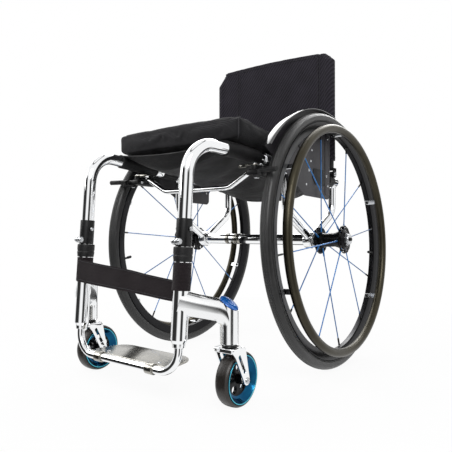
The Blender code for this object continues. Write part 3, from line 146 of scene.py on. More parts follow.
# on the left and on the right: where the rail is bare, from and to, and from where the cloth only lies on it
SLING_CUT = {1: (-0.2245, -0.1795, -0.1795), -1: (-0.209, -0.1795, -0.131)}
SLING_MIDDLE = 0.0151  # from the rail's axis to the middle of the cloth
SLING_THICKNESS = 0.0026
SLING_WRAP = 0.36  # the share of each half that goes round the tube
SLING_LEAVES = 120  # how far round the tube, in degrees, the cloth leaves it for the sag
GUARD_X = 0.1915
GUARD_ARC_RADIUS = 0.3075
GUARD_ARC_CENTRE = (-0.012, AXLE_HEIGHT - 0.005)
GUARD_ARC = (-50, 12)
GUARD_FOOT = ((0.048, 0.392), (-0.080, 0.396))
GUARD_HALF_THICKNESS = 0.0010
GUARD_STANDOFF_Y = (-0.060, 0.030)
GUARD_RIVETS = (
    (-0.072, 0.422), (-0.045, 0.503), (-0.050, 0.477), (-0.130, 0.500), (-0.020, 0.570), (0.036, 0.540),
    (0.036, 0.425),
)
POST_X = 0.1685
POST_Y = 0.095
POST_TUBE = 0.0125
POST_TOP_Z = 0.728
BACK_BAR_Z = 0.4856
HINGE_Z = 0.460
BACK_BOTTOM_Z = 0.495
BACK_CORNER_Z = {1: 0.7535, -1: 0.744}  # on the left and on the right
BACK_HALF = (0.1848, 0.1615)
BACK_TOP_Z = 0.774
BACK_FRONT_SHARE = 0.70  # how much of the cover's half is in front; the rest goes round the cane
BACK_WRAP = 275  # how far round the cane the cover goes, in degrees
BACK_WRAP_RADIUS = 0.0150
BACK_SEAMS = (-0.108, 0.146)
BACK_GROOVES = ((-0.108, 0.0012), (0.146, 0.0030), (0.1655, -0.0012), (0.1705, 0.0010))  # place and depth
CUSHION_Y = (-0.3075, 0.060)
CUSHION_HALF = 0.174
CUSHION_SIDE_X = 0.155
CUSHION_SEAM = 0.86  # the height of the side seam, as a share of the cushion's
PAD_CELL = 0.0055
CUSHION_AIR = (14, 3.0, 0.0025)  # frames, pressure and the furthest that a point may move
BACK_AIR = (12, 2.5, 0.0015)

# The studio's dark flags: from, to and softness of their bearing, then of their height, in degrees
FLAGS = (
    ((-104, -31, 11), (-34, 27, 6)),
    ((14, 48, 8), (-28, 17, 6)),
    ((-181, -168, 4), (-60, 0, 6)),
    ((168, 181, 4), (-60, 0, 6)),
)
# and, by height alone, the dark ring above them and the softbox behind the chair
DARK_RING = (66, 71, 2)
REAR_SOFTBOX = (34, 62, 4)

# The camera, and the lamps with their places, sizes and power
CAMERA_PLACE = (0.7153, -0.98445, 0.3172)
CAMERA_YAW = radians(37.21)
CAMERA_PITCH = radians(-0.51)
CAMERA_LENS = 38.83
LAMP_AIM = (0, 0, 0.4)
LAMPS = (
    ("key_softbox", (1.9, -2.3, 2.4), (1.6, 1.6), 60),
    ("fill_softbox", (-2.2, -1.8, 1.6), (1.4, 1.4), 25),
    ("rear_softbox", (-0.6, 2.6, 2.2), (1.6, 1.2), 30),
)

# Finishes, each with the slot that it stands for
CHROME = ("chrome_plated_polished", "chrome")
CAST_CHROME = ("chrome_plated_cast", "chrome")
BAND_CHROME = ("chrome_plated_polished", "black_metal")
BRUSHED = ("aluminium_sheet_brushed", "brushed")
STEEL = ("steel_turned_bright", "brushed")
TAB_STEEL = ("steel_turned_bright", "bronze")
PAINT = ("steel_powder_coated_satin_black", "black_metal")
BLACK_RIM = ("aluminium_anodised_black", "black_metal")
BLACK_WEB = ("aluminium_anodised_black", "blue_hub")
PLASTIC = ("plastic_moulded_black", "black_plastic")
STIFFENER = ("plastic_moulded_black", "guard")
RUBBER = ("rubber_moulded_tyre", "tyre")
CASTOR_TYRE = ("polyurethane_cast_brown_grey", "tyre")
BRONZE = ("aluminium_anodised_bronze", "bronze")
SPOKE_BLUE = ("spoke_wire_lacquered_blue", "blue_spoke")
CAP_BLUE = ("cap_enamelled_royal_blue", "blue_cap")
TEAL = ("aluminium_anodised_teal", "blue_hub")
TEAL_PAINTED_HIGHLIGHT = ("aluminium_anodised_pale_teal", "blue_hub")
SHEET = ("composite_sheet_pebbled_grey", "guard")
FENDER = ("composite_fender_pressed_gloss", "guard")
NYLON = ("nylon_sling_woven_black", "fabric")
WEBBING = ("webbing_woven_brown_black", "fabric")
TWILL = ("twill_woven_black", "fabric")
THREAD = ("thread_spun_grey", "fabric")


def colour(code):
    """An sRGB colour, written as six hex digits, as the linear values that a shader takes."""
    parts = [int(code[i : i + 2], 16) / 255 for i in (0, 2, 4)]
    return (*[c / 12.92 if c <= 0.04045 else ((c + 0.055) / 1.055) ** 2.4 for c in parts], 1.0)


# Finishes


def add(tree, kind, inputs=(), **settings):
    """Adds a node with its settings. An input, by its place or its name, is a value or the socket that
    feeds it."""
    made = tree.nodes.new("ShaderNode" + kind)
    for key, value in settings.items():
        setattr(made, key, value)
    for key, value in inputs.items() if isinstance(inputs, dict) else enumerate(inputs):
        if isinstance(value, bpy.types.NodeSocket):
            tree.links.new(value, made.inputs[key])
        else:
            made.inputs[key].default_value = value
    return made.outputs


def new_finish(name, code, roughness, metallic=0.0, **sockets):
    """A material with its shader's plain values; sockets name the others, with _ for a space."""
    made = bpy.data.materials.new(name)
    made.use_nodes = True
    shader = made.node_tree.nodes["Principled BSDF"]
    values = {"Base Color": colour(code), "Roughness": roughness, "Metallic": metallic}
    values.update({key.replace("_", " "): value for key, value in sockets.items()})
    for key, value in values.items():
        shader.inputs[key].default_value = value
    return made.node_tree, shader


def feed(tree, shader, shades=(), rough=(), relief=()):
    """Drives the shader: shades is a factor and its two colours, rough a factor and its two ends, and relief
    a height, its depth and the strength of its bumps."""
    if shades:
        factor, dark, light = shades
        mix = add(tree, "Mix", {0: factor, 6: colour(dark), 7: colour(light)}, data_type="RGBA")
        tree.links.new(mix[2], shader.inputs["Base Color"])
    if rough:
        factor, low, high = rough
        ramp = add(tree, "MapRange", {"Value": factor, "To Min": low, "To Max": high})
        tree.links.new(ramp[0], shader.inputs["Roughness"])
    if relief:
        height, depth, strength = relief
        bump = add(tree, "Bump", {"Height": height, "Distance": depth, "Strength": strength})
        tree.links.new(bump["Normal"], shader.inputs["Normal"])


def wave(tree, value, period):
    """A sine of this period in metres, from -1 to 1."""
    turns = add(tree, "Math", (value, 2 * pi / period), operation="MULTIPLY")[0]
    return add(tree, "Math", (turns,), operation="SINE")[0]


def clouded(name, code, roughness, metallic=0.0, *, cloud, rough, shades=(), grain=(), **sockets):
    """A finish whose gloss, and colour where it has two shades, drift with a cloudy noise of this scale and
    detail. grain is the fine relief's scale, detail, depth and strength; one with no detail is pebbled."""
    tree, shader = new_finish(name, code, roughness, metallic, **sockets)
    place = add(tree, "TexCoord")["Object"]
    drift = add(tree, "TexNoise", {"Vector": place, "Scale": cloud[0], "Detail": cloud[1]})["Fac"]
    feed(tree, shader, (drift, *shades) if shades else (), (drift, *rough))
    if grain:
        scale, detail, depth, strength = grain
        if detail:
            height = add(tree, "TexNoise", {"Vector": place, "Scale": scale, "Detail": detail})["Fac"]
        else:
            height = add(tree, "TexVoronoi", {"Vector": place, "Scale": scale})["Distance"]
        feed(tree, shader, relief=(height, depth, strength))


def polished_chrome():
    """Mirror plating; a cloudy wipe of fingers and polish breaks the reflection a little."""
    clouded("chrome_plated_polished", "F4F5F6", 0.05, 1.0, cloud=(35, 4), rough=(0.015, 0.085),
            grain=(60, 1, 0.0004, 0.12))


def cast_chrome():
    """Plating over a cast arm, less flat than drawn tube, so that what it mirrors goes soft."""
    clouded("chrome_plated_cast", "F2F3F4", 0.14, 1.0, cloud=(30, 4), rough=(0.09, 0.20),
            grain=(45, 1, 0.0005, 0.15))


def teal_lip_painted_highlight():
    """The castor hub's rim in a paler blue-green: a painted highlight for the bright edge where it mirrors
    the sky.
    """
    clouded("aluminium_anodised_pale_teal", "3FA3BA", 0.2, 0.9, cloud=(80, 3), rough=(0.16, 0.28),
            shades=("2C8FAA", "5DBACB"))


def brushed_plate():
    """Aluminium sheet brushed from side to side, so that its reflections smear along the chair."""
    tree, shader = new_finish("aluminium_sheet_brushed", "B4B5B6", 0.25, 1.0)
    place = add(tree, "TexCoord")["Object"]
    stretched = add(tree, "Mapping", {"Vector": place, "Scale": (12.0, 900.0, 900.0)})[0]
    grain = add(tree, "TexNoise", {"Vector": stretched, "Scale": 1.0, "Detail": 3.0})["Fac"]
    patches = add(tree, "TexNoise", {"Vector": place, "Scale": 28.0, "Detail": 3.0})["Fac"]
    feed(tree, shader, (patches, "87857F", "BDBAB2"), (grain, 0.12, 0.24), (grain, 0.0001, 0.5))


def turned_steel():
    """Bright steel of bolts, axle heads and bearings, with fine tool marks."""
    clouded("steel_turned_bright", "C4C6C8", 0.22, 1.0, cloud=(700, 2), rough=(0.14, 0.32),
            grain=(700, 2, 0.0001, 0.25))


def satin_black_paint():
    """Powder coat: a fine orange peel softens the highlight, and worn places look a shade lighter."""
    clouded("steel_powder_coated_satin_black", "0E0E0F", 0.34, cloud=(45, 5), rough=(0.26, 0.44),
            shades=("080809", "161617"), grain=(900, 2, 0.0001, 0.5), Specular_IOR_Level=0.3)


def anodised_black():
    """Black anodised rims and hubs, whose metal still gives a grey glint along each edge."""
    clouded("aluminium_anodised_black", "222224", 0.3, 0.85, cloud=(30, 3), rough=(0.24, 0.36),
            shades=("121214", "222224"), grain=(500, 2, 0.0001, 0.2))


def moulded_plastic():
    """Black moulded plastic with a spark-eroded grain, which scatters the light."""
    clouded("plastic_moulded_black", "111112", 0.5, cloud=(60, 4), rough=(0.4, 0.58),
            shades=("0B0B0C", "19191A"), grain=(1100, 0, 0.0001, 0.6), Specular_IOR_Level=0.3)


def around_map(tree):
    """A turned piece's own map, in metres: across its section from the middle, and around it."""
    place = add(tree, "UVMap", uv_map="around")[0]
    return add(tree, "SeparateXYZ", (place,))[:2]


def tyre_rubber():
    """Grey-black rubber: a fine chevron tread on the crown, moulded ribs and a bloom on the walls."""
    tree, shader = new_finish("rubber_moulded_tyre", "1C1C1D", 0.4, Specular_IOR_Level=0.5)
    across, around = around_map(tree)
    from_middle = add(tree, "Math", (across,), operation="ABSOLUTE")[0]
    slanted = add(tree, "Math", (around, from_middle), operation="ADD")[0]
    crown = add(tree, "Math", (from_middle, 0.0078), operation="LESS_THAN")[0]
    tread = add(tree, "Math", (wave(tree, slanted, 0.0052), crown), operation="MULTIPLY")[0]
    wall = add(tree, "Math", (from_middle, 0.0125), operation="GREATER_THAN")[0]
    ribs = add(tree, "Math", (wave(tree, around, 0.0030), wall), operation="MULTIPLY")[0]
    both = add(tree, "Math", (ribs, 0.4, tread), operation="MULTIPLY_ADD")[0]
    place = add(tree, "TexCoord")["Object"]
    bloom = add(tree, "TexNoise", {"Vector": place, "Scale": 55.0, "Detail": 6.0})["Fac"]
    feed(tree, shader, (bloom, "0D0D0E", "262626"), (bloom, 0.28, 0.46), (both, 0.0006, 0.5))


def castor_rubber():
    """Cast polyurethane, brown-grey and smooth, dulled where it rolls."""
    clouded("polyurethane_cast_brown_grey", "1D1917", 0.36, cloud=(90, 5), rough=(0.28, 0.42),
            shades=("120F0D", "2B2622"), grain=(90, 5, 0.0002, 0.3), Specular_IOR_Level=0.5)


def bronze_anodise():
    """Titanium-bronze push rim: a warm sheen along the tube, with a fine circular brushing."""
    tree, shader = new_finish("aluminium_anodised_bronze", "4A4436", 0.3, 0.9)
    across, around = around_map(tree)
    fine = add(tree, "Math", (across, 1600.0), operation="MULTIPLY")[0]
    drawn_out = add(tree, "Math", (around, 40.0), operation="MULTIPLY")[0]
    place = add(tree, "CombineXYZ", (fine, drawn_out))[0]
    brush = add(tree, "TexNoise", {"Vector": place, "Scale": 1.0, "Detail": 3.0})["Fac"]
    spot = add(tree, "TexCoord")["Object"]
    hands = add(tree, "TexNoise", {"Vector": spot, "Scale": 22.0, "Detail": 4.0})["Fac"]
    feed(tree, shader, (hands, "2C2A21", "484337"), (brush, 0.28, 0.42), (brush, 0.0001, 0.4))


def blue_coat():
    """Blue lacquered spoke wire; the thin clear coat keeps a bright line along it."""
    clouded("spoke_wire_lacquered_blue", "1F6DBD", 0.3, 0.5, cloud=(30, 3), rough=(0.24, 0.38),
            shades=("134A8C", "2C86CC"), Coat_Weight=0.5)


def blue_gloss():
    """Royal blue cap, glossy like enamel over polished metal."""
    clouded("cap_enamelled_royal_blue", "0A52B4", 0.16, 0.2, cloud=(70, 3), rough=(0.12, 0.22),
            shades=("064C9C", "1070C8"), Coat_Weight=0.6)


def teal_anodise():
    """Blue-green anodised castor hub, turned, so that thin rings catch the light."""
    clouded("aluminium_anodised_teal", "0B4868", 0.22, 0.9, cloud=(65, 3), rough=(0.10, 0.20),
            shades=("062A52", "0F6084"), grain=(800, 2, 0.0001, 0.2))


def guard_sheet():
    """Dark grey composite sheet with a pebbled skin and scuffs from sleeves and wheels."""
    clouded("composite_sheet_pebbled_grey", "202022", 0.42, cloud=(38, 6), rough=(0.32, 0.52),
            shades=("1F1E21", "3F3D41"), grain=(650, 0, 0.0002, 0.5), Specular_IOR_Level=0.35)


def fender_gloss():
    """The same sheet pressed smooth over the tyre, glossy enough to mirror the studio."""
    clouded("composite_fender_pressed_gloss", "121213", 0.10, cloud=(50, 5), rough=(0.08, 0.2),
            shades=("121213", "29292A"), Coat_Weight=1.0)


def cloth(name, dark, light, thread, roughness, sheen):
    """The ground that every cloth shares: two shades of yarn, a soft sheen and its thread's relief. The
    shades mix by a cloudy noise and by the thread's height, so that the weave's low places get a painted
    shade.
    thread makes the relief from the tree and the place's x, y and z, and gives its height, from -1 to 1, and
    its depth."""
    tree, shader = new_finish(
        name, dark, roughness, Sheen_Weight=sheen, Sheen_Roughness=0.45, Specular_IOR_Level=0.15
    )
    place = add(tree, "TexCoord")["Object"]
    height, depth = thread(tree, *add(tree, "SeparateXYZ", (place,))[:3])
    worn = add(tree, "TexNoise", {"Vector": place, "Scale": 26.0, "Detail": 6.0})["Fac"]
    # the raised yarn is lighter and the low places darker: a painted shade in the weave's hollows
    relief_painted_shade = add(tree, "MapRange", {"Value": height, "From Min": -1.0, "To Min": 0.0, "To Max": 0.65})[0]
    mottle_and_relief_shade = add(tree, "Math", (worn, 0.55, relief_painted_shade), operation="MULTIPLY_ADD")[0]
    gloss = (worn, roughness - 0.1, roughness + 0.08)
    feed(tree, shader, (mottle_and_relief_shade, dark, light), gloss, (height, depth, 0.8))


def knit_thread(tree, x, y, z):
    """Open spacer knit: round holes in even rows, drawn 2.5 mm apart so that they show."""
    down = add(tree, "Math", (y, z), operation="SUBTRACT")[0]
    rising = wave(tree, add(tree, "Math", (x, down), operation="ADD")[0], 0.0050)
    falling = wave(tree, add(tree, "Math", (x, down), operation="SUBTRACT")[0], 0.0050)
    return add(tree, "Math", (rising, falling), operation="MULTIPLY")[0], 0.0008


def twill_thread(tree, x, y, z):
    """Twill ribs that climb across the back; the real 1 mm ribs are drawn 7 mm apart to show at all."""
    slanted = add(tree, "Math", (z, -0.8, x), operation="MULTIPLY_ADD")[0]
    ribs = wave(tree, slanted, 0.0090)
    weft = wave(tree, add(tree, "Math", (x, z), operation="ADD")[0], 0.0052)
    return add(tree, "Math", (weft, 0.35, ribs), operation="MULTIPLY_ADD")[0], 0.0004


def plain_thread(tree, x, y, z):
    """A plain weave that repeats every 1.6 mm."""
    warp = wave(tree, add(tree, "Math", (x, z), operation="ADD")[0], 0.0016)
    weft = wave(tree, add(tree, "Math", (y, z), operation="SUBTRACT")[0], 0.0016)
    return add(tree, "Math", (warp, weft), operation="MULTIPLY")[0], 0.0002


def ribbed_thread(tree, x, y, z):
    """Webbing with ribs 2.4 mm apart across its width."""
    yarn = wave(tree, add(tree, "Math", (x, y), operation="ADD")[0], 0.0018)
    return add(tree, "Math", (yarn, 0.35, wave(tree, z, 0.0024)), operation="MULTIPLY_ADD")[0], 0.0004


def thread_twist(tree, x, y, z):
    """The lay of sewing thread and piping cord."""
    level = add(tree, "Math", (x, y), operation="ADD")[0]
    return wave(tree, add(tree, "Math", (level, z), operation="ADD")[0], 0.0030), 0.0002


def make_finishes():
    for make in (
        polished_chrome,
        cast_chrome,
        teal_lip_painted_highlight,
        brushed_plate,
        turned_steel,
        satin_black_paint,
        anodised_black,
        moulded_plastic,
        tyre_rubber,
        castor_rubber,
        bronze_anodise,
        blue_coat,
        blue_gloss,
        teal_anodise,
        guard_sheet,
        fender_gloss,
    ):
        make()
    cloth("spacer_knit_black", "020202", "2A292C", knit_thread, 0.8, 0.08)
    cloth("twill_woven_black", "060508", "312E36", twill_thread, 0.8, 0.06)
    cloth("packcloth_woven_black", "080809", "171619", plain_thread, 0.7, 0.07)
    cloth("nylon_sling_woven_black", "020203", "0C0A0D", plain_thread, 0.42, 0.04)
    cloth("webbing_woven_brown_black", "0E0A0C", "241D20", ribbed_thread, 0.8, 0.10)
    cloth("thread_spun_grey", "18181A", "444346", thread_twist, 0.75, 0.10)


# Shapes


def rounded(points, radii, closed=False, step=radians(8)):
    """The points with their corners turned to arcs, as large as the radii ask and their sides allow."""
    points = [Vector((*point, 0.0)[:3]) for point in points]
    count = len(points)
    made = []
    for i, corner in enumerate(points):
        if not closed and i in (0, count - 1):
            made.append(corner)
            continue
        incoming, outgoing = corner - points[i - 1], points[(i + 1) % count] - corner
        turn = incoming.angle(outgoing)
        if turn < 0.02:
            made.append(corner)
            continue
        wanted = radii if isinstance(radii, float) else radii[i - 1]
        radius = min(wanted, 0.49 * min(incoming.length, outgoing.length) / tan(turn / 2))
        incoming.normalize()
        axis = incoming.cross(outgoing).normalized()
        inward = axis.cross(incoming)
        centre = corner - incoming * radius * tan(turn / 2) + inward * radius
        steps = max(2, round(turn / step))
        for k in range(steps + 1):
            made.append(centre - Matrix.Rotation(turn * k / steps, 3, axis) @ (inward * radius))
    return made


def arc(centre, radius, start, end, steps):
    """Points on an arc in a plane, from one angle to another in degrees."""
    angles = [radians(start + (end - start) * i / steps) for i in range(steps + 1)]
    return [(centre[0] + radius * cos(a), centre[1] + radius * sin(a)) for a in angles]


def across(half):
    """A path's left half and its mirror image, for a tube that runs from side to side."""
    return [*half, *[(-x, y, z) for x, y, z in reversed(half)]]


def both_faces(outer):
    """A wheel's section: its outer half, and the same half on the inner side."""
    return [*outer, *[(radius, -out) for radius, out in reversed(outer)]]


def area_of(bm):
    return sum(face.calc_area() for face in bm.faces)


def circle(centre, radius, steps=32):
    return arc(centre, radius, 0, 360 - 360 / steps, steps - 1)


def mesh_from(bm, matrix=None):
    """The finished mesh, with its faces turned outward."""
    if matrix is not None:
        bmesh.ops.transform(bm, matrix=matrix, verts=bm.verts)
    bmesh.ops.recalc_face_normals(bm, faces=bm.faces)
    mesh = bpy.data.meshes.new("shape")
    bm.to_mesh(mesh)
    bm.free()
    return mesh


def lathe(profile, steps=64, matrix=None, corner=0.0, closed=False):
    """A section of (radius, height) points turned about Z, with a map "around" that measures across the
    section from its middle, and along the turn, in metres."""
    points = [Vector((radius, 0.0, height)) for radius, height in profile]
    if corner:
        points = rounded(points, corner, closed, radians(22))
    bm = bmesh.new()
    along = bm.verts.layers.float.new("along")
    verts = [bm.verts.new(point) for point in points]
    lengths = [0.0]
    for first, second in zip(points, points[1:]):
        lengths.append(lengths[-1] + (second - first).length)
    for vert, length in zip(verts, lengths):
        vert[along] = length
    edges = [bm.edges.new(pair) for pair in zip(verts, verts[1:])]
    if closed:
        edges.append(bm.edges.new((verts[-1], verts[0])))
    about = {"cent": (0, 0, 0), "axis": (0, 0, 1), "angle": 2 * pi}
    bmesh.ops.spin(bm, geom=verts + edges, steps=steps, use_merge=True, **about)
    bmesh.ops.remove_doubles(bm, verts=bm.verts, dist=1e-7)
    whole = lengths[-1] + (points[0] - points[-1]).length
    reach = max(point.x for point in points)
    layer = bm.loops.layers.uv.new("around")
    for face in bm.faces:
        turns = [atan2(loop.vert.co.y, loop.vert.co.x) for loop in face.loops]
        places = [loop.vert[along] for loop in face.loops]
        for loop, turn, place in zip(face.loops, turns, places):
            turn += 2 * pi if max(turns) - turn > pi else 0.0
            place += whole if closed and max(places) - place > whole / 2 else 0.0
            loop[layer].uv = (place - lengths[-1] / 2, turn * reach)
    return mesh_from(bm, matrix)


def towards(start, direction):
    """The matrix that puts Z along a direction, from a point."""
    turn = Vector(direction).to_track_quat("Z", "Y").to_matrix().to_4x4()
    return Matrix.Translation(Vector(start)) @ turn


def rod(start, end, radius, steps=20, edge=0.0004):
    """A round bar between two points, with its end edges broken."""
    start, end = Vector(start), Vector(end)
    length = (end - start).length
    profile = [(0.0, 0.0), (radius, 0.0), (radius, length), (0.0, length)]
    return lathe(profile, steps, towards(start, end - start), edge)


def ring(start, end, outer, inner, steps=48, edge=0.0006):
    start, end = Vector(start), Vector(end)
    length = (end - start).length
    profile = [(inner, 0.0), (outer, 0.0), (outer, length), (inner, length)]
    return lathe(profile, steps, towards(start, end - start), edge, True)


def evaluated(obj):
    """The mesh that an object shows, as a bmesh; the object itself is removed."""
    bpy.context.view_layer.update()
    graph = bpy.context.evaluated_depsgraph_get()
    mesh = bpy.data.meshes.new_from_object(obj.evaluated_get(graph))
    bpy.data.objects.remove(obj, do_unlink=True)
    bm = bmesh.new()
    bm.from_mesh(mesh)
    return bm


def mesh_of_curve(curve, matrix=None):
    """The curve's mesh, with its loose caps welded on."""
    bm = evaluated(shown("curve", curve))
    bmesh.ops.remove_doubles(bm, verts=bm.verts, dist=1e-6)
    return mesh_from(bm, matrix)


def tube(points, radius, resolution=10):
    """A round tube along a path."""
    curve = bpy.data.curves.new("tube", "CURVE")
    curve.dimensions = "3D"
    curve.bevel_depth = radius
    curve.bevel_resolution = resolution
    curve.use_fill_caps = True
    spline = curve.splines.new("POLY")
    spline.points.add(len(points) - 1)
    for place, point in zip(spline.points, points):
        place.co = (*point, 1.0)
    return mesh_of_curve(curve)


# sets an outline in Y and Z, thick along X
YZX = Matrix(((0, 0, 1, 0), (1, 0, 0, 0), (0, 1, 0, 0), (0, 0, 0, 1)))


def plate(outlines, low, high, matrix=None, edge=0.0005):
    """A flat plate from its outline and those of its holes, thick from low to high, with broken edges."""
    curve = bpy.data.curves.new("plate", "CURVE")
    curve.dimensions = "2D"
    curve.fill_mode = "BOTH"
    curve.extrude = (high - low) / 2 - edge
    curve.bevel_depth = edge
    curve.bevel_resolution = 2
    curve.offset = -edge
    for outline in outlines:
        spline = curve.splines.new("POLY")
        spline.points.add(len(outline) - 1)
        for place, point in zip(spline.points, outline):
            place.co = (point[0], point[1], 0.0, 1.0)
        spline.use_cyclic_u = True
    middle = Matrix.Translation((0, 0, (low + high) / 2))
    return mesh_of_curve(curve, (matrix or Matrix()) @ middle)


def block(low, high, edge=0.0012, matrix=None):
    """A box with rounded edges."""
    low, high = Vector(low), Vector(high)
    bm = bmesh.new()
    bmesh.ops.create_cube(bm, size=1.0)
    size = Matrix.Diagonal((*(high - low), 1.0))
    bmesh.ops.transform(bm, matrix=Matrix.Translation((low + high) / 2) @ size, verts=bm.verts)
    edge = min(edge, 0.45 * min(high - low))
    bmesh.ops.bevel(bm, geom=bm.edges[:], offset=edge, segments=3, affect="EDGES", profile=0.5, material=-1)
    return mesh_from(bm, matrix)


def screw(at, direction, radius, height=None):
    """A button-head screw with a round socket, on a washer."""
    height = height or radius * 0.6
    socket = radius * 0.42
    profile = [(radius, 0.0), (radius, height * 0.35), (radius * 0.7, height * 0.85), (socket, height)]
    head = lathe([*profile, (socket, height * 0.35), (0.0, height * 0.35)], 24, None, radius * 0.08)
    washer = lathe([(0.0, -height * 0.1), (radius * 0.98, -height * 0.1), (radius, 0.0)], 24)
    both = joined([head, washer])
    both.transform(towards(at, direction))
    return both


def shown(name, data):
    """A new object in the scene."""
    obj = bpy.data.objects.new(name, data)
    bpy.context.scene.collection.objects.link(obj)
    return obj


def joined(meshes):
    """Several meshes as one."""
    bm = bmesh.new()
    for mesh in meshes:
        bm.from_mesh(mesh)
    mesh = bpy.data.meshes.new("joined")
    bm.to_mesh(mesh)
    bm.free()
    return mesh


def mirrored(mesh):
    """The mesh for the other side of the chair."""
    bm = bmesh.new()
    bm.from_mesh(mesh)
    bmesh.ops.transform(bm, matrix=Matrix.Scale(-1, 4, (1, 0, 0)), verts=bm.verts)
    bmesh.ops.reverse_faces(bm, faces=bm.faces)
    made = bpy.data.meshes.new("mirrored")
    bm.to_mesh(made)
    bm.free()
    return made


def piece(name, meshes, dress, body, replaces=(), sharp=38):
    """A piece of the dressed chair, moved to the row frame and fixed to its body."""
    mesh = joined(meshes)
    mesh.transform(Matrix.Translation(AXLE_SHIFT))
    obj = shown(name, mesh)
    finish, slot = dress
    mesh.materials.append(bpy.data.materials[finish])
    mesh.shade_smooth()
    mesh.set_sharp_from_angle(angle=radians(sharp))
    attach(obj, body)
    if replaces:
        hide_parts(*replaces)
    return obj


def pair(name, left, dress, body, replaces=()):
    """The left-hand meshes and their mirror images; * stands for the side in every name."""
    right = [mirrored(mesh) for mesh in left]
    for (side, _), meshes in zip(SIDES, (left, right)):
        names = [node.replace("*", side) for node in replaces]
        piece(name.replace("*", side), meshes, dress, body.replace("*", side), names)


# Places


def rail_point(y):
    x = RAIL_START[0] + RAIL_SPREAD * (y - RAIL_START[1])
    return Vector((x, y, RAIL_START[2] - RAIL_DROP * (y - RAIL_START[1])))


def seat_tube(y):
    """A point of the seat tube's axis: on its way out to the rail, then on the rail."""
    if y >= RAIL_BLEND_Y:
        return rail_point(y)
    corner = Vector(FRONT_BEND_CORNER)
    return corner.lerp(rail_point(RAIL_BLEND_Y), (y - corner.y) / (RAIL_BLEND_Y - corner.y))


def leg_point(z):
    return Vector((LEG_X, LEG_BOTTOM[0] + LEG_LEAN * (z - LEG_BOTTOM[1]), z))


LEG_WAY = Vector((0.0, LEG_LEAN, 1.0)).normalized()
RAIL_WAY = (rail_point(0.1) - rail_point(-0.1)).normalized()


def wheel_frame(side, spinning=True):
    """A rear wheel's frame: Z out along the axle and X towards the floor."""
    turn = Euler((0.0, pi / 2 - CAMBER, 0.0 if side > 0 else pi)).to_matrix().to_4x4()
    spin = Matrix.Rotation(0.0 if side > 0 or not spinning else -RIGHT_WHEEL_SPIN, 4, "Z")
    return Matrix.Translation((side * HALF_TRACK, 0.0, AXLE_HEIGHT)) @ turn @ spin


def in_wheel(radius, out, angle):
    """A point of a wheel, by its radius, its offset along the axle and its angle in degrees."""
    return Vector((-radius * cos(radians(angle)), radius * sin(radians(angle)), out))


# Frame


def frame_tubes():
    """Each side's bent tube, the loop under its rail that carries the axle, and the clamp at its foot."""
    corners = (leg_point(0.240), FRONT_BEND_CORNER, rail_point(RAIL_BLEND_Y), rail_point(RAIL_END_Y))
    bends = (FRONT_BEND_RADIUS, RAIL_BLEND_RADIUS)
    shapes = [tube(rounded(corners, bends, step=radians(4)), FRAME_TUBE, 14)]
    front, rear = rail_point(-LOOP_REACH), rail_point(LOOP_REACH)
    foot = (rail_point(0).x, 0.0, AXLE_HEIGHT)
    loop = (front, (front.x, front.y, LOOP_KNEE_Z), foot, (rear.x, rear.y, LOOP_KNEE_Z), rear)
    shapes.append(tube(rounded(loop, (0.045, 0.020, 0.045), step=radians(4)), LOOP_TUBE, 10))
    # a fillet weld where each end of the loop meets the rail
    bead = ((-0.0008, -0.0175), (0.0012, -0.0145), (0.0034, -0.0108), (-0.001, -0.0095))
    weld = [(LOOP_TUBE + out, height) for out, height in bead]
    for top in (front, rear):
        shapes.append(lathe(weld, 40, Matrix.Translation(top), 0.001))
    start, end = (Vector((x, 0.0, AXLE_HEIGHT)) for x in CLAMP_X)
    inset = Vector((0.003, 0, 0))
    shapes.append(ring(start, end, CLAMP_RADIUS, CAMBER_TUBE + 0.0006, 56, 0.0012))
    shapes.append(ring(start + inset, end - inset, 0.0202, 0.018))
    pair("side_tubes_*", shapes, CHROME, "frame", ["side_frame_*"])
    bolts = []
    for x in (CLAMP_X[0] + 0.005, CLAMP_X[1] - 0.005):
        bolts.append(screw((x, -0.0012, AXLE_HEIGHT - 0.0193), (0, 0, -1), 0.0032))
    pair("axle_clamp_bolts_*", bolts, STEEL, "frame")


def rail_ends():
    seat = rail_point(RAIL_END_Y + 0.0004)
    plug = [
        (0.0, 0.0), (FRAME_TUBE - 0.0003, 0.0), (FRAME_TUBE - 0.0004, 0.0022), (0.009, 0.0036),
        (0.0, 0.0039),
    ]
    shank = rod(rail_point(RAIL_END_Y - 0.016), seat, 0.0094, 32)
    shapes = [lathe(plug, 48, towards(seat, RAIL_WAY), 0.0008), shank]
    pair("rail_end_plug_*", shapes, PLASTIC, "frame", ["rail_plug_*"])


def camber_bar():
    end = Vector((CAMBER_TUBE_END, 0.0, AXLE_HEIGHT))
    bar = ring((-end.x, 0.0, end.z), end, CAMBER_TUBE, 0.0072, 56)
    piece("axle_cross_tube", [bar], CHROME, "frame", ["camber_tube"])
    # bands clamped round the cross tube, which set the wheels' camber
    shapes = []
    for start, stop in ((-0.0865, -0.0735), (-0.0605, -0.0395)):
        ends = (start, 0.0, end.z), (stop, 0.0, end.z)
        shapes.append(ring(*ends, CAMBER_TUBE + 0.0006, CAMBER_TUBE - 0.0002))
    piece("camber_bands", shapes, BRUSHED, "frame")


